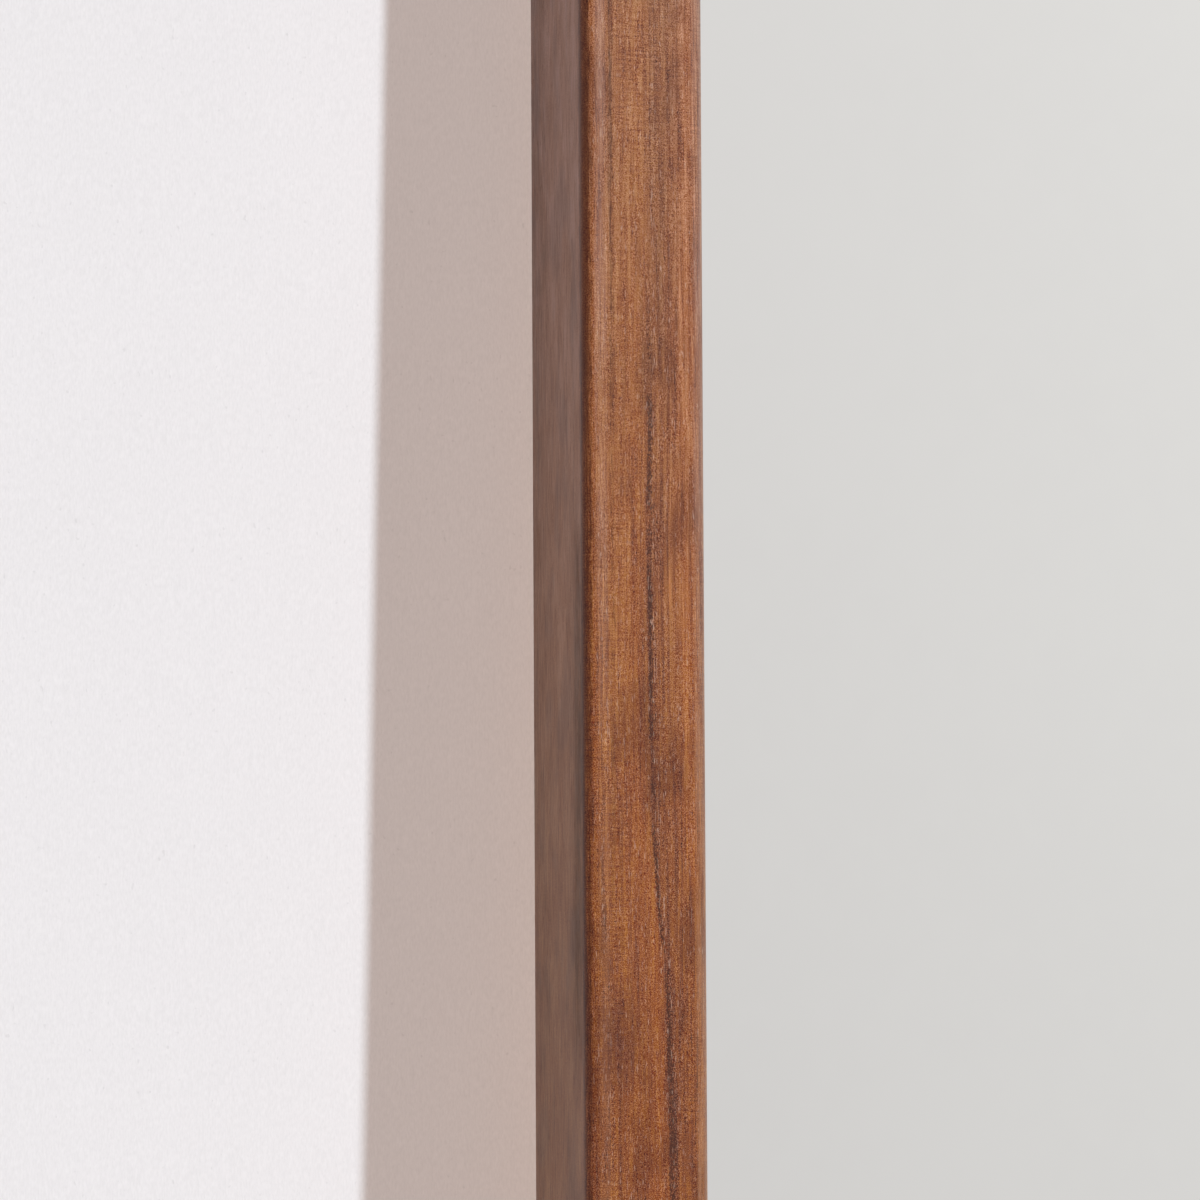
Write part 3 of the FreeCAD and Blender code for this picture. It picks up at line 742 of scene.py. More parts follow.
@dataclass(frozen=True)
class Finish:
    """A finish that one material slot takes."""

    slot: Slot

    def material(self) -> bpy.types.Material:
        """Returns the finish's material, building it on first use."""
        name = self.slot.value + "_finish"
        found = bpy.data.materials.get(name)
        if found:
            return found
        made = bpy.data.materials.new(name)
        made.use_nodes = True
        canvas = Canvas(made.node_tree)
        self.lay(canvas, made.node_tree.nodes["Principled BSDF"])
        return made

    def lay(self, canvas: Canvas, shader: bpy.types.Node) -> None:
        """Lays the finish's nodes in front of its shader."""
        raise NotImplementedError


@dataclass(frozen=True)
class OiledHardwood(Finish):
    """Satin oiled hardwood, read from a member's own grain coordinates and values."""

    relief: float = 0.00005

    def lay(self, canvas: Canvas, shader: bpy.types.Node) -> None:
        """Feeds the member's values through the figure group."""
        given = {}
        for key, kind in HardwoodFigure.inputs:
            source = canvas.node("ShaderNodeAttribute", attribute_name=key.lower())
            given[key] = source.outputs["Vector" if kind == "NodeSocketVector" else "Fac"]
        figure = canvas.group(HardwoodFigure.tree(), **given).outputs
        worked = {
            "Base Color": figure["Colour"],
            "Roughness": figure["Roughness"],
            "Coat Weight": figure["Coat"],
            "Coat Roughness": 0.28,
            "IOR": 1.38,
            "Normal": canvas.bump(figure["Height"], 0.35, self.relief),
        }
        canvas.feed_all(shader, worked)


@dataclass(frozen=True)
class SilveredGlass(Finish):
    """Silvered mirror glass with a trace of dust and wiping marks."""

    tint: Colour = (0.955, 0.962, 0.955)
    dusty: Colour = (0.935, 0.940, 0.935)

    def lay(self, canvas: Canvas, shader: bpy.types.Node) -> None:
        """Mirror metal whose gloss falls a little under dust and wiping marks."""
        dust = canvas.group(SettledDust.tree(), Place=canvas.place()).outputs
        colour = canvas.blend(canvas.times(dust["Veil"], 0.35), self.tint, self.dusty)
        rough = canvas.total(
            0.012, canvas.times(dust["Veil"], 0.02), canvas.times(dust["Specks"], 0.02)
        )
        canvas.feed_all(shader, {"Base Color": colour, "Roughness": rough, "Metallic": 1.0})


@dataclass(frozen=True)
class PlatedSteel(Finish):
    """Plated sheet steel or wire with drawn lines, spangle and dull blotches."""

    colour: Colour = (0.62, 0.63, 0.64)
    dull: Colour = (0.42, 0.42, 0.43)
    stretch: Triple = (1.0, 1.0, 0.05)
    rough: float = 0.30
    spangle: float = 0.2

    def lay(self, canvas: Canvas, shader: bpy.types.Node) -> None:
        """Tone and gloss vary with the metal marks."""
        marks = canvas.group(MetalMarks.tree(), Place=canvas.place(), Stretch=self.stretch).outputs
        tone = canvas.total(
            canvas.times(marks["Blotch"], 0.45),
            canvas.times(marks["Spangle"], self.spangle),
            canvas.times(marks["Lines"], 0.30),
        )
        rough = canvas.total(
            self.rough - 0.10,
            canvas.times(marks["Lines"], 0.16),
            canvas.times(marks["Blotch"], 0.16),
            canvas.times(marks["Spangle"], 0.06),
        )
        worked = {
            "Base Color": canvas.blend(tone, self.colour, self.dull),
            "Roughness": rough,
            "Metallic": 1.0,
            "Normal": canvas.bump(marks["Lines"], 0.12, 0.00002),
        }
        canvas.feed_all(shader, worked)


@dataclass(frozen=True)
class FibreBoard(Finish):
    """Pressed fibre or card: felted fibres, darker flecks and a dusty bloom."""

    pale: Colour = (0.36, 0.245, 0.155)
    dark: Colour = (0.22, 0.140, 0.082)
    flutes: float = 0.0
    bloom: Colour = (0.50, 0.46, 0.42)

    def lay(self, canvas: Canvas, shader: bpy.types.Node) -> None:
        """Two noises of short felted fibres, with flecks and slow blotches."""
        metres = canvas.place()
        place = canvas.millimetres(metres)
        across = canvas.noise(place, (0.75, 0.5, 0.5), 3.0, 0.65)
        along = canvas.noise(place, (0.5, 0.5, 0.8), 3.0, 0.65, shift=4.0)
        cloud = canvas.noise(place, (70.0, 70.0, 95.0), 3.0, 0.55, shift=8.0)
        fleck = canvas.noise(place, (0.5, 0.5, 0.9), 0.0, shift=11.0)
        flecks = canvas.step(fleck, 0.70, 0.80)
        tone = canvas.total(
            0.45,
            canvas.swing(across, 1.1),
            canvas.swing(along, 1.1),
            canvas.swing(cloud, 0.45),
            canvas.times(flecks, 0.35),
        )
        colour = canvas.ramp(tone, ((0.0, self.pale), (1.0, self.dark)))
        dust = canvas.group(SettledDust.tree(), Place=metres).outputs
        colour = canvas.blend(canvas.times(dust["Veil"], 0.06), colour, self.bloom)
        rough = canvas.total(0.72, canvas.swing(across, 0.2), canvas.swing(cloud, 0.2))
        height = canvas.total(canvas.swing(across, 1.0), canvas.swing(along, 1.0))
        if self.flutes:
            comb = canvas.node("ShaderNodeTexWave", wave_type="BANDS", bands_direction="X")
            canvas.feed_all(comb, {"Vector": place, "Scale": self.flutes})
            height = canvas.total(height, canvas.times(comb.outputs["Fac"], 1.5))
        relief = canvas.bump(height, 0.25, 0.0001)
        canvas.feed_all(shader, {"Base Color": colour, "Roughness": rough, "Normal": relief})


@dataclass(frozen=True)
class MouldedRubber(Finish):
    """Moulded rubber or foam: a fine matt skin, scuffs and settled dust."""

    colour: Colour = (0.030, 0.029, 0.028)
    scuff: Colour = (0.085, 0.080, 0.075)
    rough: float = 0.62
    cell: float = 0.25

    def lay(self, canvas: Canvas, shader: bpy.types.Node) -> None:
        """A fine noise makes the skin, a slow one the scuffs, with dust on top."""
        metres = canvas.place()
        place = canvas.millimetres(metres)
        skin = canvas.noise(place, (self.cell, self.cell, self.cell), 2.0, 0.6)
        scuff = canvas.noise(place, (4.0, 4.0, 4.0), 3.0, 0.6, shift=6.0)
        dust = canvas.group(SettledDust.tree(), Place=metres).outputs
        share = canvas.total(
            canvas.step(scuff, 0.48, 0.74, 0.0, 0.55),
            canvas.swing(skin, 0.35),
            canvas.times(dust["Specks"], 0.6),
        )
        colour = canvas.blend(share, self.colour, self.scuff)
        rough = canvas.total(self.rough, canvas.swing(scuff, 0.3), canvas.swing(skin, 0.15))
        relief = canvas.bump(skin, 0.3, 0.00006)
        canvas.feed_all(shader, {"Base Color": colour, "Roughness": rough, "Normal": relief})


@dataclass(frozen=True)
class PlainBeech(Finish):
    """Unfinished beech with short flecks along the grain."""

    pale: Colour = (0.58, 0.40, 0.25)
    fleck: Colour = (0.38, 0.23, 0.13)

    def lay(self, canvas: Canvas, shader: bpy.types.Node) -> None:
        """Flecks are a noise drawn out along the grain, on a slow tone."""
        place = canvas.millimetres(canvas.place())
        fleck = canvas.noise(place, (0.4, 0.4, 2.5), 1.0)
        slow = canvas.noise(place, (3.0, 3.0, 30.0), 2.0, shift=5.0)
        tone = canvas.total(0.35, canvas.swing(fleck, 1.4), canvas.swing(slow, 1.0))
        colour = canvas.ramp(tone, ((0.0, self.pale), (1.0, self.fleck)))
        rough = canvas.total(0.62, canvas.swing(slow, 0.2))
        canvas.feed_all(shader, {"Base Color": colour, "Roughness": rough})


FINISHES: Dict[Slot, Finish] = {
    finish.slot: finish
    for finish in (
        OiledHardwood(Slot.HARDWOOD),
        PlainBeech(Slot.KEY),
        MouldedRubber(
            Slot.TAPE, colour=(0.055, 0.055, 0.056), scuff=(0.11, 0.11, 0.11), rough=0.85, cell=0.4
        ),
        MouldedRubber(
            Slot.BLOCK, colour=(0.040, 0.040, 0.042), scuff=(0.09, 0.09, 0.09), rough=0.7, cell=0.3
        ),
        SilveredGlass(Slot.MIRROR),
        MouldedRubber(
            Slot.FILM, colour=(0.33, 0.35, 0.37), scuff=(0.42, 0.43, 0.44), rough=0.45, cell=0.8
        ),
        FibreBoard(Slot.CARD, pale=(0.45, 0.33, 0.21), dark=(0.33, 0.22, 0.13), flutes=0.08),
        FibreBoard(Slot.BOARD),
        PlatedSteel(Slot.ZINC),
        PlatedSteel(
            Slot.SCREW,
            colour=(0.66, 0.62, 0.52),
            dull=(0.42, 0.39, 0.33),
            stretch=(1.0, 0.2, 1.0),
            spangle=0.0,
        ),
        PlatedSteel(
            Slot.BUTTON,
            colour=(0.64, 0.63, 0.60),
            dull=(0.44, 0.43, 0.41),
            stretch=(1.0, 1.0, 0.12),
            spangle=0.1,
        ),
        PlatedSteel(
            Slot.RING,
            colour=(0.66, 0.66, 0.66),
            dull=(0.46, 0.46, 0.47),
            stretch=(0.2, 1.0, 1.0),
            rough=0.26,
            spangle=0.05,
        ),
        MouldedRubber(Slot.BUMPER),
        MouldedRubber(
            Slot.PAD, colour=(0.026, 0.025, 0.024), scuff=(0.075, 0.070, 0.065), rough=0.7, cell=0.35
        ),
    )
}


def dress(piece: bpy.types.Object, slot: Slot) -> None:
    """Gives a piece the finish of a slot on every material slot that its mesh has."""
    material = FINISHES[slot].material()
    if not piece.data.materials:
        piece.data.materials.append(material)
    for index in range(len(piece.data.materials)):
        piece.data.materials[index] = material


# Sub-assemblies


def stand_in(piece: bpy.types.Object, node: str, body: str, slot: Slot) -> None:
    """Finishes a piece, has it stand for a node and move with a body.

    Args:
        piece: the new piece.
        node: the node that it stands for.
        body: the body that it moves with.
        slot: the material slot whose finish it takes.
    """
    dress(piece, slot)
    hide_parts(node)
    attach(piece, body)


@dataclass
class SubAssembly:
    """Pieces of one kind, each of which stands for a node of its own.

    A kind has its slot and what its nodes' names begin with. A moving kind's pieces each move with the
    body that is named like their node, and the others with the frame.
    """

    slot: ClassVar[Slot]
    stem: ClassVar[str] = ""
    moving: ClassVar[bool] = False

    def names(self) -> Sequence[str]:
        """What the nodes' names end with: the two sides, where a kind has no others."""
        return tuple(SIGNS)

    def build(self, name: str) -> bpy.types.Object:
        """Builds one piece in place."""
        raise NotImplementedError

    def dress_all(self) -> List[bpy.types.Object]:
        """Builds, finishes and places every piece."""
        pieces = []
        for name in self.names():
            piece = self.build(name)
            node = self.stem + name
            stand_in(piece, node, node if self.moving else "frame", self.slot)
            pieces.append(piece)
        return pieces


@dataclass(frozen=True)
class Growth:
    """How the figure lies in one member (millimetres).

    The places are distances along the grain from the member's middle: where the streak is halfway in
    its swing, where the tone turns from deeper to paler, where the smoky streak beside the arris
    begins and where the stain meets the outer side. The streak starts at a distance from the outer
    side, and goes twice its swing to and fro. The seed keeps the member's grain apart from the
    others'.
    """

    seed: Triple
    streak_place: float
    streak_start: float
    streak_swing: float
    pale_place: float
    smoke_place: float
    stain_place: float


@dataclass
class HardwoodFrame(SubAssembly):
    """Two stiles and two rails, one moulded profile mitred at the corners (sizes in millimetres).

    A pair of sizes is the two ends of a smooth step, apart from the two lengths of the wander.
    """

    slot: ClassVar[Slot] = Slot.HARDWOOD
    width: float = 700.0
    height: float = 1800.0
    lift: float = 3.0
    front: float = -18.9
    face_width: float = 30.0
    leg_width: float = 20.0
    depth: float = 30.0
    lip_depth: float = 11.0
    outer_round_face: float = 3.3
    outer_round_side: float = 3.0
    inner_round: float = 5.0
    back_round: float = 1.0
    lip_round: float = 0.5
    side_split: float = 9.0
    wander: float = 0.25
    wander_reach: float = 2.5
    wander_lengths: Pair = (61.0, 23.0)
    groove: float = 0.12
    groove_run: float = 0.3
    stations: int = 401
    drift_period: float = 560.0
    drift_move: float = 0.6
    # pale strips of rubbed finish and painted highlight
    strip_rise: Pair = (1.3, 3.3)
    strip_fall: Pair = (5.5, 4.4)
    line_place: float = 5.8
    line_width: float = 0.9
    inner_rise: Pair = (25.2, 26.6)
    # painted shade along the arris
    arris_across: Pair = (2.1, 1.1)
    arris_deep: Pair = (4.3, 2.3)
    streak_period: float = 480.0
    streak_slow_swing: float = 1.2
    smoke_period: float = 270.0
    smoke_deep: float = 5.6
    smoke_width: float = 3.0
    # painted shade towards the back of the outer side
    rear_shade: Pair = (15.0, 30.0)
    stain_length: float = 10.0
    growth: Dict[Side, Growth] = field(
        default_factory=lambda: {
            Side.LEFT: Growth(
                seed=(0.0, 0.0, 0.0),
                streak_place=128.0, streak_start=14.7, streak_swing=2.45,
                pale_place=197.0, smoke_place=88.0, stain_place=105.0,
            ),
            Side.RIGHT: Growth(
                seed=(211.0, 93.0, 5210.0),
                streak_place=-310.0, streak_start=7.5, streak_swing=2.6,
                pale_place=-60.0, smoke_place=20.0, stain_place=-240.0,
            ),
            Side.TOP: Growth(
                seed=(437.0, 171.0, 9120.0),
                streak_place=40.0, streak_start=19.0, streak_swing=2.0,
                pale_place=90.0, smoke_place=-30.0, stain_place=150.0,
            ),
            Side.BOTTOM: Growth(
                seed=(661.0, 259.0, 13370.0),
                streak_place=-120.0, streak_start=9.0, streak_swing=3.1,
                pale_place=-40.0, smoke_place=60.0, stain_place=-90.0,
            ),
        }
    )

    def profile(self) -> np.ndarray:
        """Closed outline of a member's section.

        It goes round once: the outer front round-over, the face, the inner round-over, the lip, the
        ledge and wall of the rabbet, the back with its round-over, and the outer side.

        Returns:
            Rows of the distance from the outer side and the distance from the front.
        """
        face, leg, deep, lip = self.face_width, self.leg_width, self.depth, self.lip_depth
        wide, tall, inner = self.outer_round_face, self.outer_round_side, self.inner_round
        small, back, split = self.lip_round, self.back_round, self.side_split
        parts = (
            arc((wide, tall), (wide, tall), 180.0, 270.0, 16),
            run((wide, 0.0), (face - inner, 0.0), 16),
            arc((face - inner, inner), (inner, inner), -90.0, 0.0, 18),
            arc((face - small, lip - small), (small, small), 0.0, 90.0, 4),
            np.array([(leg, lip)]),
            arc((leg - small, deep - small), (small, small), 0.0, 90.0, 4),
            run((leg - small, deep), (back, deep), 6),
            arc((back, deep - back), (back, back), 90.0, 180.0, 8),
            run((0.0, deep - back), (0.0, split), 9),
            np.array([(0.0, split)]),
            run((0.0, split), (0.0, tall), 10),
        )
        return np.concatenate(parts)

    def rub(self, across: np.ndarray, deep: np.ndarray, drift: np.ndarray) -> np.ndarray:
        """Rubbed finish and painted highlight on edges, up to 1; painted arris shade, down to -1.

        Args:
            across: distance from the outer side.
            deep: distance from the front.
            drift: slow change of tone along the member, which moves the strip and the arris.

        Returns:
            A pale strip inside each front round-over, rubbed finish and painted highlight, and an arris
            of painted shade, which smooth steps bound, and a dark line beside the outer strip, which is
            a bell.
        """
        front = 1.0 - smooth_step(deep, 1.2, 3.0)
        move = self.drift_move * drift
        # rubbed finish and painted highlight inside the outer round-over, stronger where the tone is
        # pale
        outer = smooth_step(across + move, *self.strip_rise) * smooth_step(across, *self.strip_fall)
        outer = outer * (0.55 + 0.13 * drift)
        # rubbed finish and painted highlight inside the inner round-over
        inner = smooth_step(across, *self.inner_rise) * (0.78 - 0.22 * drift)
        # painted shade along the arris
        arris = smooth_step(across - move, *self.arris_across) * smooth_step(deep, *self.arris_deep)
        arris = arris * (0.62 + 0.38 * smooth_step(across - move, 1.0, 0.2))
        line = np.exp(-(((across - self.line_place) / self.line_width) ** 2))
        line = line * (0.38 + 0.26 * drift)
        return front * (np.maximum(outer, inner) - line) - arris

    def streak(self, side: Side, across: np.ndarray, along: np.ndarray) -> np.ndarray:
        """Distance from a member's mineral streak.

        Its middle line steps to and fro with the hyperbolic tangent of a sine, plus one less a slower
        cosine.

        Args:
            side: the member.
            across: distance from the outer side.
            along: distance along the grain from the member's middle.

        Returns:
            The distance across the face, positive towards the inner side.
        """
        grown = self.growth[side]
        turn = 2.0 * math.pi * (grown.streak_place - along) / self.streak_period
        quick = grown.streak_swing * (1.0 + np.tanh(3.2 * np.sin(turn)))
        slow = self.streak_slow_swing * (1.0 - np.cos(0.37 * turn))
        return across - (grown.streak_start + quick + slow)

    def drift(self, side: Side, along: np.ndarray) -> np.ndarray:
        """Slow change of tone along a member: the sine of the distance along, from -1 to 1.

        Args:
            side: the member.
            along: distance along the grain from the member's middle.

        Returns:
            The tone's change, -1 for deeper and 1 for paler.
        """
        return np.sin(2.0 * math.pi * (along - self.growth[side].pale_place) / self.drift_period)

    def flank(self, across: np.ndarray, deep: np.ndarray) -> np.ndarray:
        """Share of the outer side and the back: a smooth step behind the front round-over."""
        return smooth_step(deep, 1.5, 4.0) * smooth_step(across, 24.0, 20.5)

    def smoke(self, side: Side, across: np.ndarray, deep: np.ndarray, along: np.ndarray) -> np.ndarray:
        """Smoky streak by the outer arris, painted shade towards the back, and a stain on the face.

        The smoky streak beside the arris is a bell times the upper part of a slow sine along the grain,
        and the painted shade towards the back a smooth step that is stronger where the face is pale.
        The stain is a flat-topped bell along the grain, whose middle wavers across the face.

        Args:
            side: the member.
            across: distance from the outer side.
            deep: distance from the front.
            along: distance along the grain from the member's middle.

        Returns:
            The strength of the smoky streak, the painted shade and the stain, from 0 to 1.
        """
        grown = self.growth[side]
        waver = deep - self.smoke_deep - 0.8 * np.sin(along / 37.0)
        bell = np.exp(-((waver / self.smoke_width) ** 2)) * smooth_step(across, 1.6, 0.8)
        turn = 2.0 * math.pi * (along - grown.smoke_place) / self.smoke_period
        swell = np.clip(1.6 * np.sin(turn), 0.0, 0.85)
        # painted shade towards the back, stronger where the tone is pale
        rear = (0.45 + 0.28 * self.drift(side, along)) * smooth_step(deep, *self.rear_shade)
        off = along - grown.stain_place + 0.5 * across + 1.8 * np.sin(across / 2.1)
        stain = np.exp(-((off / self.stain_length) ** 4))
        stain = stain * smooth_step(across, 20.0, 8.0) * smooth_step(deep, 3.0, 1.0)
        return np.maximum(np.maximum(bell * swell, rear), 0.80 * stain)

    def axes(self, side: Side) -> Tuple[np.ndarray, float, float]:
        """Directions of a member.

        Args:
            side: the member.

        Returns:
            Rows of the directions across, deep and along, half the frame's size across the member,
            and half the member's own length.
        """
        across, along = {
            Side.LEFT: ((1.0, 0.0, 0.0), (0.0, 0.0, 1.0)),
            Side.RIGHT: ((-1.0, 0.0, 0.0), (0.0, 0.0, -1.0)),
            Side.TOP: ((0.0, 0.0, -1.0), (1.0, 0.0, 0.0)),
            Side.BOTTOM: ((0.0, 0.0, 1.0), (-1.0, 0.0, 0.0)),
        }[side]
        upright = side in (Side.LEFT, Side.RIGHT)
        half_size = (self.width if upright else self.height) / 2.0
        half_length = (self.height if upright else self.width) / 2.0
        return np.array((across, (0.0, 1.0, 0.0), along)), half_size, half_length

    def names(self) -> Sequence[str]:
        """The four members' nodes."""
        return tuple(side.value for side in Side)

    def build(self, name: str) -> bpy.types.Object:
        """Carries the profile along one side of the frame.

        A point is the frame's middle, less the direction across times the half size less the distance
        from the outer side, plus the direction deep times the distance from the front, plus the
        direction along times the station's share of the half length less the distance from the outer
        side, which cuts both mitres. The round-over wanders with a sum of slow sines, and the section
        draws in at the two ends, which leaves a fine groove at the mitre.

        Args:
            name: the member's node.

        Returns:
            The member, in place.
        """
        side = Side(name)
        directions, half_size, half_length = self.axes(side)
        outline = self.profile()
        tight = 1.0 - self.groove_run / half_length
        share = np.concatenate(([-1.0], np.linspace(-tight, tight, self.stations), [1.0]))
        across = np.broadcast_to(outline[:, 0], (len(share), len(outline)))
        deep = np.broadcast_to(outline[:, 1], across.shape)
        along = share[:, None] * (half_length - across)
        seed = self.growth[side].seed
        long, short = self.wander_lengths
        slow = np.sin(along / long + seed[0]) + 0.6 * np.sin(along / short + seed[1])
        corner = np.exp(-(across + deep) / self.wander_reach)
        give = self.wander * corner * (slow + 1.6) / 3.2
        middle = self.face_width / 2.0
        draw = np.where(np.abs(share) == 1.0, self.groove / middle, 0.0)[:, None]
        place_across = across + give + draw * (middle - across)
        place_deep = deep + give + draw * (middle - deep)
        local = np.stack((place_across - half_size, place_deep + self.front, along), axis=-1)
        points = local.reshape(-1, 3) @ directions
        points[:, 2] += self.lift + self.height / 2.0
        grain = np.stack((across + seed[0], deep + seed[1], along + seed[2]), axis=-1)
        drift = self.drift(side, along)
        values = {
            "grain": grain.reshape(-1, 3),
            "streak": self.streak(side, across, along).ravel(),
            "drift": drift.ravel(),
            # pale strips of rubbed finish and painted highlight, and painted shade on the arris
            "rub": self.rub(across, deep, drift).ravel(),
            "flank": self.flank(across, deep).ravel(),
            # smoky streaks and stain, with painted shade towards the back
            "smoke": self.smoke(side, across, deep, along).ravel(),
        }
        rows, columns = across.shape
        quads = grid_quads(rows, columns, False, True)
        return mesh_piece(name + "_moulded", points, quads, end_caps(rows, columns), values)


@dataclass
class TurnButtons(SubAssembly):
    """Pressed steel turn buttons that hold the back board (sizes in millimetres).

    The rib's slope is rows of an inset and a share of the rib's height, and the hole's round-over rows
    of a distance outside the hole and one below the top. A spot is the screw's x and z and the
    direction that the button points in.
    """

    slot: ClassVar[Slot] = Slot.BUTTON
    stem: ClassVar[str] = "turn_button_"
    moving: ClassVar[bool] = True
    head: float = 7.0
    tip: float = 4.0
    reach: float = 22.0
    hole: float = 2.1
    low: float = 11.3
    high: float = 12.8
    edge: float = 0.4
    rib: float = 0.28
    sole: float = 2.2
    burr: float = 0.15
    rib_slope: Sequence[Pair] = ((1.3, 0.0), (1.6, 0.25), (2.0, 0.8), (2.4, 1.0))
    hole_round: Sequence[Pair] = ((0.25, 0.0), (0.07, 0.07), (0.0, 0.25))
    spots: Dict[str, Tuple[float, float, float, float]] = field(
        default_factory=lambda: {
            "upper_left": (-340.0, 1503.0, 1.0, 0.0),
            "middle_left": (-340.0, 903.0, 1.0, 0.0),
            "lower_left": (-340.0, 303.0, 1.0, 0.0),
            "upper_right": (340.0, 1503.0, -1.0, 0.0),
            "middle_right": (340.0, 903.0, -1.0, 0.0),
            "lower_right": (340.0, 303.0, -1.0, 0.0),
            "top": (0.0, 1793.0, 0.0, -1.0),
            "bottom": (0.0, 13.0, 0.0, 1.0),
        }
    )

    def names(self) -> Sequence[str]:
        """The spots of the eight buttons."""
        return tuple(self.spots)

    def outline(self, inset: float) -> np.ndarray:
        """Hull of the head's circle and the tip's circle, both drawn in by an inset.

        The two straight sides touch the circles where the cosine of the angle is the difference of
        the radii over the reach.

        Args:
            inset: distance inside the full outline.

        Returns:
            Rows of the distances along and across the button.
        """
        head, tip = self.head - inset, self.tip - inset
        touch = math.degrees(math.acos((head - tip) / self.reach))
        round_tip = arc((self.reach, 0.0), (tip, tip), -touch, touch, 28)
        round_head = arc((0.0, 0.0), (head, head), touch, 360.0 - touch, 48)
        return np.concatenate(
            (
                round_tip,
                run(tuple(round_tip[-1]), tuple(round_head[0]), 14),
                round_head,
                run(tuple(round_head[-1]), tuple(round_tip[0]), 14),
            )
        )

    def rings(self) -> np.ndarray:
        """Rings of points from the hole along the underside, round the edge and back on the top.

        The edge is a quarter circle, and the top steps up to a pressed rib along the middle.

        Returns:
            Rings of points of the distances along, across and out of the back.
        """
        way = self.outline(0.0)
        turn = np.arctan2(way[:, 1], way[:, 0])
        around = np.stack((np.cos(turn), np.sin(turn)), axis=-1)
        step = self.high - self.rib
        quarter = arc((self.edge, step - self.edge), (self.edge, self.edge), 180.0, 90.0, 5)
        hulls = [(self.sole, self.low), (self.burr, self.low), (0.0, self.low + self.burr)]
        hulls += [tuple(row) for row in quarter]
        hulls += [(inset, step + share * self.rib) for inset, share in self.rib_slope]
        circles = [(spare, self.high - down) for spare, down in self.hole_round]
        circles += [(0.0, self.low)]
        flat = [self.outline(inset) for inset, _ in hulls]
        flat += [around * (self.hole + spare) for spare, _ in circles]
        rise = np.array([out for _, out in hulls + circles])
        rise = np.broadcast_to(rise[:, None, None], (len(flat), len(way), 1))
        return np.concatenate((np.stack(flat), rise), axis=-1)

    def build(self, name: str) -> bpy.types.Object:
        """Places one button: its along axis points as its spot says, its across axis square to it.

        Args:
            name: the button's spot.

        Returns:
            The button, in place.
        """
        x, z, ahead, up = self.spots[name]
        rings = self.rings()
        rows, columns = rings.shape[:2]
        axes = np.array(((ahead, 0.0, up), (-up, 0.0, ahead), (0.0, 1.0, 0.0)))
        points = rings.reshape(-1, 3) @ axes + np.array((x, 0.0, z))
        quads = outward(points, grid_quads(rows, columns, True, True))
        return mesh_piece(f"turn_button_{name}_pressed", points, quads)


@dataclass
class HangerRings(SubAssembly):
    """Wire D-rings of the two hangers (sizes in millimetres)."""

    slot: ClassVar[Slot] = Slot.RING
    stem: ClassVar[str] = "hanger_ring_"
    moving: ClassVar[bool] = True
    wire: float = 1.6
    half: float = 7.6
    bend: float = 2.6
    straight: float = 10.0
    side: float = 340.0
    out: float = 15.0
    high: float = 1323.0
    stations: int = 192
    columns: int = 24

    def path(self) -> np.ndarray:
        """Middle line of the wire: a bar, two bends, two straight sides and a half circle.

        Returns:
            Evenly spaced rows of the distances across and up.
        """
        inner = self.half - self.bend
        corners = np.concatenate(
            (
                arc((inner, -self.bend), (self.bend, self.bend), 90.0, 0.0, 40),
                arc((0.0, -self.straight), (self.half, self.half), 0.0, -180.0, 160),
                arc((-inner, -self.bend), (self.bend, self.bend), 180.0, 90.0, 40),
            )
        )
        closed = np.concatenate((corners, corners[:1]))
        length = np.concatenate(([0.0], np.cumsum(np.linalg.norm(np.diff(closed, axis=0), axis=1))))
        even = np.linspace(0.0, length[-1], self.stations, endpoint=False)
        return np.stack([np.interp(even, length, closed[:, axis]) for axis in (0, 1)], axis=-1)

    def build(self, name: str) -> bpy.types.Object:
        """Carries the wire's circle along the path, square to the line between its neighbours.

        Args:
            name: the side that the ring hangs on.

        Returns:
            The ring, in place.
        """
        path = self.path()
        ahead = np.roll(path, -1, axis=0) - np.roll(path, 1, axis=0)
        ahead /= np.linalg.norm(ahead, axis=1, keepdims=True)
        turn = full_turn(self.columns)
        flat, out = self.wire * np.cos(turn), self.wire * np.sin(turn)
        x = path[:, :1] - ahead[:, 1:] * flat
        z = path[:, 1:] + ahead[:, :1] * flat
        points = placed_rows(x, out, z, (SIGNS[name] * self.side, self.out, self.high))
        quads = outward(points, grid_quads(self.stations, self.columns, True, True))
        return mesh_piece(f"hanger_ring_{name}_wire", points, quads, sharp=60.0)


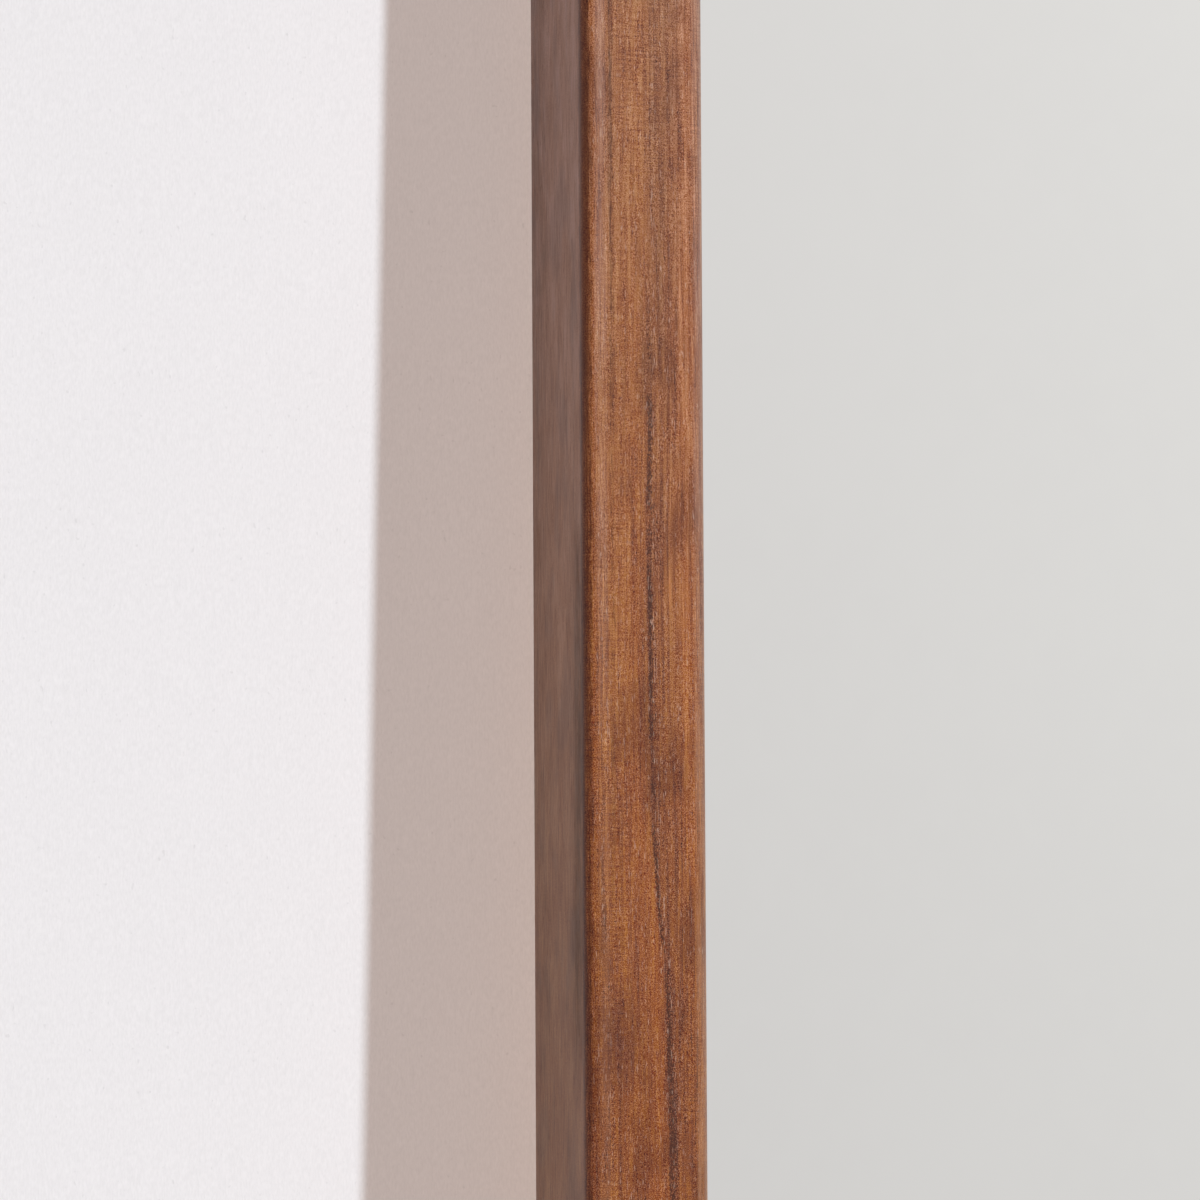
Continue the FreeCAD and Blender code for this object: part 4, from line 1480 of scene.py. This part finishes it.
@dataclass
class WallBumpers(SubAssembly):
    """Moulded rubber bumpers at the top of the back (sizes in millimetres).

    The parting line is rows of a radius and a height, and the dish rows of a radius and a depth.
    """

    slot: ClassVar[Slot] = Slot.BUMPER
    stem: ClassVar[str] = "wall_bumper_"
    base: float = 7.0
    top: float = 6.0
    height: float = 6.0
    round_top: float = 1.2
    round_foot: float = 0.2
    parting: Sequence[Pair] = ((6.72, 1.7), (6.58, 1.85), (6.66, 2.0))
    dish: Sequence[Pair] = ((3.3, 0.0), (2.9, 0.08), (1.9, 0.42), (0.7, 0.55))
    back: float = 11.1
    side: float = 255.0
    high: float = 1793.0
    columns: int = 72

    def profile(self) -> np.ndarray:
        """Half section: the tapering side with a parting line, a quarter round and a dished top.

        Returns:
            Rows of the radius and the distance out of the back.
        """
        centre = (self.top - self.round_top, self.height - self.round_top)
        curve = arc(centre, (self.round_top, self.round_top), 8.0, 90.0, 8)
        foot = ((self.base - self.round_foot, 0.0), (self.base, self.round_foot))
        hollow = [(radius, self.height - down) for radius, down in self.dish]
        return np.concatenate((np.array(foot), np.array(self.parting), curve, np.array(hollow)))

    def build(self, name: str) -> bpy.types.Object:
        """Turns the half section round the bumper's own axis.

        Args:
            name: the side that the bumper is on.

        Returns:
            The bumper, in place.
        """
        section = self.profile()
        turn = full_turn(self.columns)
        x = section[:, :1] * np.cos(turn)
        z = section[:, :1] * np.sin(turn)
        points = placed_rows(x, section[:, 1:], z, (SIGNS[name] * self.side, self.back, self.high))
        quads = grid_quads(len(section), self.columns, False, True)
        caps = end_caps(len(section), self.columns)
        return mesh_piece(f"wall_bumper_{name}_moulded", points, quads, caps)


@dataclass
class FloorPads(SubAssembly):
    """Moulded rubber pads under the bottom rail (sizes in millimetres).

    The groove is rows of an inset and a height from the pad's middle.
    """

    slot: ClassVar[Slot] = Slot.PAD
    stem: ClassVar[str] = "floor_pad_"
    arris: float = 0.6
    corner: float = 1.8
    groove: Sequence[Pair] = ((0.0, -0.3), (0.25, -0.1), (0.25, 0.1), (0.0, 0.3))

    def outline(self, half: Pair, inset: float) -> np.ndarray:
        """Rounded rectangle: four quarter circles, one at each corner.

        Args:
            half: half the length and half the width of the full rectangle.
            inset: distance inside it.

        Returns:
            Rows of two coordinates.
        """
        round_corner = self.corner - inset
        long, wide = half[0] - self.corner, half[1] - self.corner
        spots = ((long, wide, 0.0), (-long, wide, 90.0), (-long, -wide, 180.0), (long, -wide, 270.0))
        parts = [
            arc((x, y), (round_corner, round_corner), start, start + 90.0, 8) for x, y, start in spots
        ]
        return np.concatenate(parts)

    def build(self, name: str) -> bpy.types.Object:
        """Stacks rounded rectangles from the sole to the top, with a groove round the middle.

        Args:
            name: the side that the pad is on.

        Returns:
            The pad, in place.
        """
        low, high = (np.array(corner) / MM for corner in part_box(f"floor_pad_{name}"))
        middle, half = (low + high) / 2.0, (high - low) / 2.0
        thick = high[2] - low[2]
        sole = arc((self.arris, self.arris), (self.arris, self.arris), 270.0, 180.0, 5)
        top = arc((self.arris, thick - self.arris), (self.arris, self.arris), 180.0, 90.0, 5)
        waist = np.array([(inset, thick / 2.0 + rise) for inset, rise in self.groove])
        levels = np.concatenate((sole, waist, top))
        flat = np.stack([self.outline((half[0], half[1]), inset) for inset in levels[:, 0]])
        rise = np.broadcast_to(levels[:, 1][:, None, None], (*flat.shape[:2], 1))
        points = np.concatenate((flat + middle[:2], rise + low[2]), axis=-1)
        rows, columns = points.shape[:2]
        quads = grid_quads(rows, columns, False, True)
        caps = end_caps(rows, columns)
        return mesh_piece(f"floor_pad_{name}_moulded", points.reshape(-1, 3), quads, caps)


@dataclass
class KeptNodes:
    """Nodes whose solid shape is right, by the slot whose finish they take."""

    slots: Dict[str, str] = field(
        default_factory=lambda: {
            part["node"]: part["material_slot"] for part in frame["record"]["subparts"]
        }
    )

    def dress_all(self) -> List[bpy.types.Object]:
        """Finishes every node that still shows."""
        pieces = []
        for name, node in frame["nodes"].items():
            if node.hide_render:
                continue
            dress(node, Slot(self.slots[name]))
            pieces.append(node)
        return pieces


# Studio


def toward(azimuth: float, height: float) -> Vector:
    """Direction of a place, turned from the front to the right and raised, in degrees."""
    turn, rise = math.radians(azimuth), math.radians(height)
    return Vector((math.sin(turn) * math.cos(rise), -math.cos(turn) * math.cos(rise), math.sin(rise)))


@dataclass(frozen=True)
class Lamp:
    """A far lamp.

    Its power is its light on a surface that faces it. Its spread, the width of its disc, softens its
    shadows. It stands at an azimuth from the front towards the right and at a height above the horizon.
    These three are in degrees.
    """

    name: str
    power: float
    colour: Colour
    spread: float
    azimuth: float
    height: float
    reflected: bool = False

    def build(self) -> None:
        """Hangs the lamp."""
        light = bpy.data.lights.new(self.name, "SUN")
        light.energy = self.power
        light.color = self.colour
        light.angle = math.radians(self.spread)
        lamp = bpy.data.objects.new(self.name, light)
        lamp.rotation_euler = toward(self.azimuth, self.height).to_track_quat("Z", "Y").to_euler()
        lamp.visible_glossy = self.reflected
        bpy.context.scene.collection.objects.link(lamp)


@dataclass
class Studio:
    """Floor, wall, lamps, world and camera (lengths in metres, angles in degrees).

    The lamps are a key from the front right, a broad warm fill from the front left and one behind.
    """

    reach: float = 40.0
    wall_height: float = 9.0
    wall_y: float = 0.0349
    wall_z: float = 1.1
    wall_lean: float = 1.43
    pale: Colour = (0.86, 0.845, 0.85)
    floor_share: float = 0.86
    floor_fade: Pair = (1.5, 4.0)
    beside: float = 0.352
    lamps: Sequence[Lamp] = (
        Lamp(
            "key", power=2.40, colour=(0.80, 0.92, 1.0), spread=2.2, azimuth=29.2, height=35.0,
            reflected=True,
        ),
        Lamp("fill", power=2.2, colour=(1.0, 0.85, 0.79), spread=28.0, azimuth=-42.0, height=25.0),
        Lamp("rear", power=1.0, colour=(1.0, 0.97, 0.93), spread=50.0, azimuth=160.0, height=38.0),
    )
    across_stops: Stops = (
        (0.00, (0.45, 0.44, 0.43)),
        (0.35, (0.62, 0.60, 0.59)),
        (0.50, (0.70, 0.68, 0.67)),
        (0.69, (0.70, 0.68, 0.67)),
        (0.78, (0.80, 0.785, 0.77)),
        (1.00, (1.00, 0.99, 0.98)),
    )
    rise_tones: Sequence[Pair] = ((0.00, 0.40), (0.30, 0.46), (0.45, 0.50), (0.66, 1.0), (1.0, 1.0))
    front_light: Colour = (0.09, 0.085, 0.08)
    back_light: Colour = (0.50, 0.45, 0.42)
    backdrop: Colour = (0.90, 0.89, 0.89)
    azimuth: float = -24.3
    elevation: float = -2.4
    roll: float = -0.29
    distance: float = 1.0
    lens: float = 138.0
    target: Triple = (-0.3469, -0.0189, 1.1)

    def sheet(self, name: str, corners: Sequence[Triple]) -> bpy.types.Object:
        """Makes a flat four-cornered stage piece."""
        mesh = bpy.data.meshes.new(name)
        mesh.from_pydata([Vector(corner) for corner in corners], [], [(0, 1, 2, 3)])
        piece = bpy.data.objects.new(name, mesh)
        bpy.context.scene.collection.objects.link(piece)
        return piece

    def build_floor(self) -> None:
        """Lays the pale floor under the pads, which fades out of reflections away from the mirror."""
        far = self.reach
        piece = self.sheet("floor", ((-far, -far, 0), (far, -far, 0), (far, far, 0), (-far, far, 0)))
        piece.visible_diffuse = False
        canvas, shader, output = self.pale_paint("pale_floor", piece, self.floor_share)
        away = canvas.node("ShaderNodeVectorMath", operation="LENGTH")
        canvas.feed(away.inputs[0], canvas.place())
        glossy = canvas.node("ShaderNodeLightPath").outputs["Is Glossy Ray"]
        clear = canvas.times(glossy, canvas.step(away.outputs["Value"], *self.floor_fade))
        blend = canvas.node("ShaderNodeMixShader")
        through = canvas.node("ShaderNodeBsdfTransparent")
        canvas.feed_row(blend, clear, shader.outputs[0], through.outputs[0])
        canvas.feed(output.inputs["Surface"], blend.outputs[0])

    def pale_paint(
        self, name: str, piece: bpy.types.Object, share: float
    ) -> Tuple[Canvas, bpy.types.Node, bpy.types.Node]:
        """Gives a stage piece matt pale paint.

        Args:
            name: the material's name.
            piece: the stage piece.
            share: the paint's tone, as a share of the pale colour.

        Returns:
            The material's canvas, its shader and its output node.
        """
        made = bpy.data.materials.new(name)
        made.use_nodes = True
        shader = made.node_tree.nodes["Principled BSDF"]
        canvas = Canvas(made.node_tree)
        colour = tuple(share * part for part in self.pale)
        canvas.feed_all(shader, {"Base Color": colour, "Roughness": 0.9, "Specular IOR Level": 0.2})
        piece.data.materials.append(made)
        return canvas, shader, made.node_tree.nodes["Material Output"]

    def brush(self, canvas: Canvas, shader: bpy.types.Node) -> None:
        """Lays faint upright brush strokes, clouds and pits in the wall's paint."""
        place = canvas.millimetres(canvas.place())
        stroke = canvas.noise(place, (0.45, 0.45, 1.3), 2.0, 0.6)
        cloud = canvas.noise(place, (30.0, 30.0, 60.0), 3.0, 0.6, shift=4.0)
        spot = canvas.noise(place, (0.9, 0.9, 1.2), 0.0, shift=7.0)
        tone = canvas.total(
            0.5,
            canvas.swing(stroke, 0.66),
            canvas.swing(cloud, 0.10),
            canvas.times(canvas.step(spot, 0.78, 0.88), -0.3),
        )
        low, high = (tuple(part * share for part in self.pale) for share in (0.86, 1.14))
        canvas.feed(shader.inputs["Base Color"], canvas.ramp(tone, ((0.0, low), (1.0, high))))

    def build_wall(self) -> None:
        """Stands the pale wall behind, seen from its front only and in nothing's way.

        It is opaque to the camera, and to reflections beside the mirror. Every other ray goes
        through it, so that the back is lit and seen.
        """
        slope = math.tan(math.radians(self.wall_lean))
        low = self.wall_y + slope * self.wall_z
        high = self.wall_y - slope * (self.wall_height - self.wall_z)
        far = self.reach
        top = self.wall_height
        piece = self.sheet("wall", ((-far, low, 0), (far, low, 0), (far, high, top), (-far, high, top)))
        canvas, shader, output = self.pale_paint("pale_wall", piece, 1.0)
        self.brush(canvas, shader)
        path = canvas.node("ShaderNodeLightPath")
        side = canvas.node("ShaderNodeSeparateXYZ")
        canvas.feed(side.inputs[0], canvas.place())
        beside = canvas.calc("GREATER_THAN", canvas.calc("ABSOLUTE", side.outputs[0]), self.beside)
        glossy = canvas.times(path.outputs["Is Glossy Ray"], beside)
        seen = canvas.calc("MAXIMUM", path.outputs["Is Camera Ray"], glossy)
        back = canvas.node("ShaderNodeNewGeometry").outputs["Backfacing"]
        front = canvas.calc("SUBTRACT", 1.0, back)
        blend = canvas.node("ShaderNodeMixShader")
        through = canvas.node("ShaderNodeBsdfTransparent")
        canvas.feed_row(blend, canvas.times(seen, front), through.outputs[0], shader.outputs[0])
        canvas.feed(output.inputs["Surface"], blend.outputs[0])

    def build_world(self) -> None:
        """Sets the room: pale to the camera, softly graded in reflections, dim to everything else."""
        world = bpy.data.worlds.new("room")
        bpy.context.scene.world = world
        world.use_nodes = True
        canvas = Canvas(world.node_tree)
        ground = world.node_tree.nodes["Background"]
        path = canvas.node("ShaderNodeLightPath")
        way = canvas.node("ShaderNodeSeparateXYZ")
        canvas.feed(way.inputs[0], canvas.node("ShaderNodeTexCoord").outputs["Generated"])
        across = canvas.ramp(canvas.span(way.outputs[0], -1.0, 1.0), self.across_stops)
        greys = [(place, (tone, tone, tone)) for place, tone in self.rise_tones]
        rise = canvas.ramp(canvas.span(way.outputs[2], -0.5, 1.0), greys)
        shown = canvas.blend(1.0, across, canvas.vector("ADD", rise, rise), "MULTIPLY")
        behind = canvas.step(way.outputs[1], -0.10, 0.20)
        ambient = canvas.blend(behind, self.front_light, self.back_light)
        colour = canvas.blend(path.outputs["Is Glossy Ray"], ambient, shown)
        colour = canvas.blend(path.outputs["Is Camera Ray"], colour, self.backdrop)
        canvas.feed_all(ground, {"Color": colour, "Strength": 1.0})

    def build_camera(self) -> None:
        """Stands the camera at the photograph's viewing angle."""
        turn, tip = math.radians(self.azimuth), math.radians(self.roll)
        back = toward(self.azimuth, self.elevation)
        level = Vector((math.cos(turn), math.sin(turn), 0.0))
        plumb = back.cross(level)
        right = level * math.cos(tip) + plumb * math.sin(tip)
        up = plumb * math.cos(tip) - level * math.sin(tip)
        lens = bpy.data.cameras.new("camera")
        lens.lens = self.lens
        lens.sensor_width = 36.0
        lens.clip_start, lens.clip_end = 0.01, 200.0
        camera = bpy.data.objects.new("camera", lens)
        placed = Matrix((right, up, back)).transposed().to_4x4()
        placed.translation = Vector(self.target) + back * self.distance
        camera.matrix_world = placed
        bpy.context.scene.collection.objects.link(camera)
        bpy.context.scene.camera = camera

    def build(self) -> None:
        """Builds the whole studio."""
        self.build_floor()
        self.build_wall()
        for lamp in self.lamps:
            lamp.build()
        self.build_world()
        self.build_camera()


def main() -> None:
    """Builds every sub-assembly in order and reports its pieces."""
    logging.basicConfig(level=logging.INFO, format="%(name)s: %(message)s")
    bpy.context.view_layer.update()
    assemblies = (
        HardwoodFrame(), TurnButtons(), HangerRings(), WallBumpers(), FloorPads(), KeptNodes()
    )
    for assembly in assemblies:
        for piece in assembly.dress_all():
            LOG.info("%s: %s, %d faces", type(assembly).__name__, piece.name, len(piece.data.polygons))
    Studio().build()
    bpy.context.scene.view_settings.view_transform = "Standard"


if __name__ == "__main__":
    main()
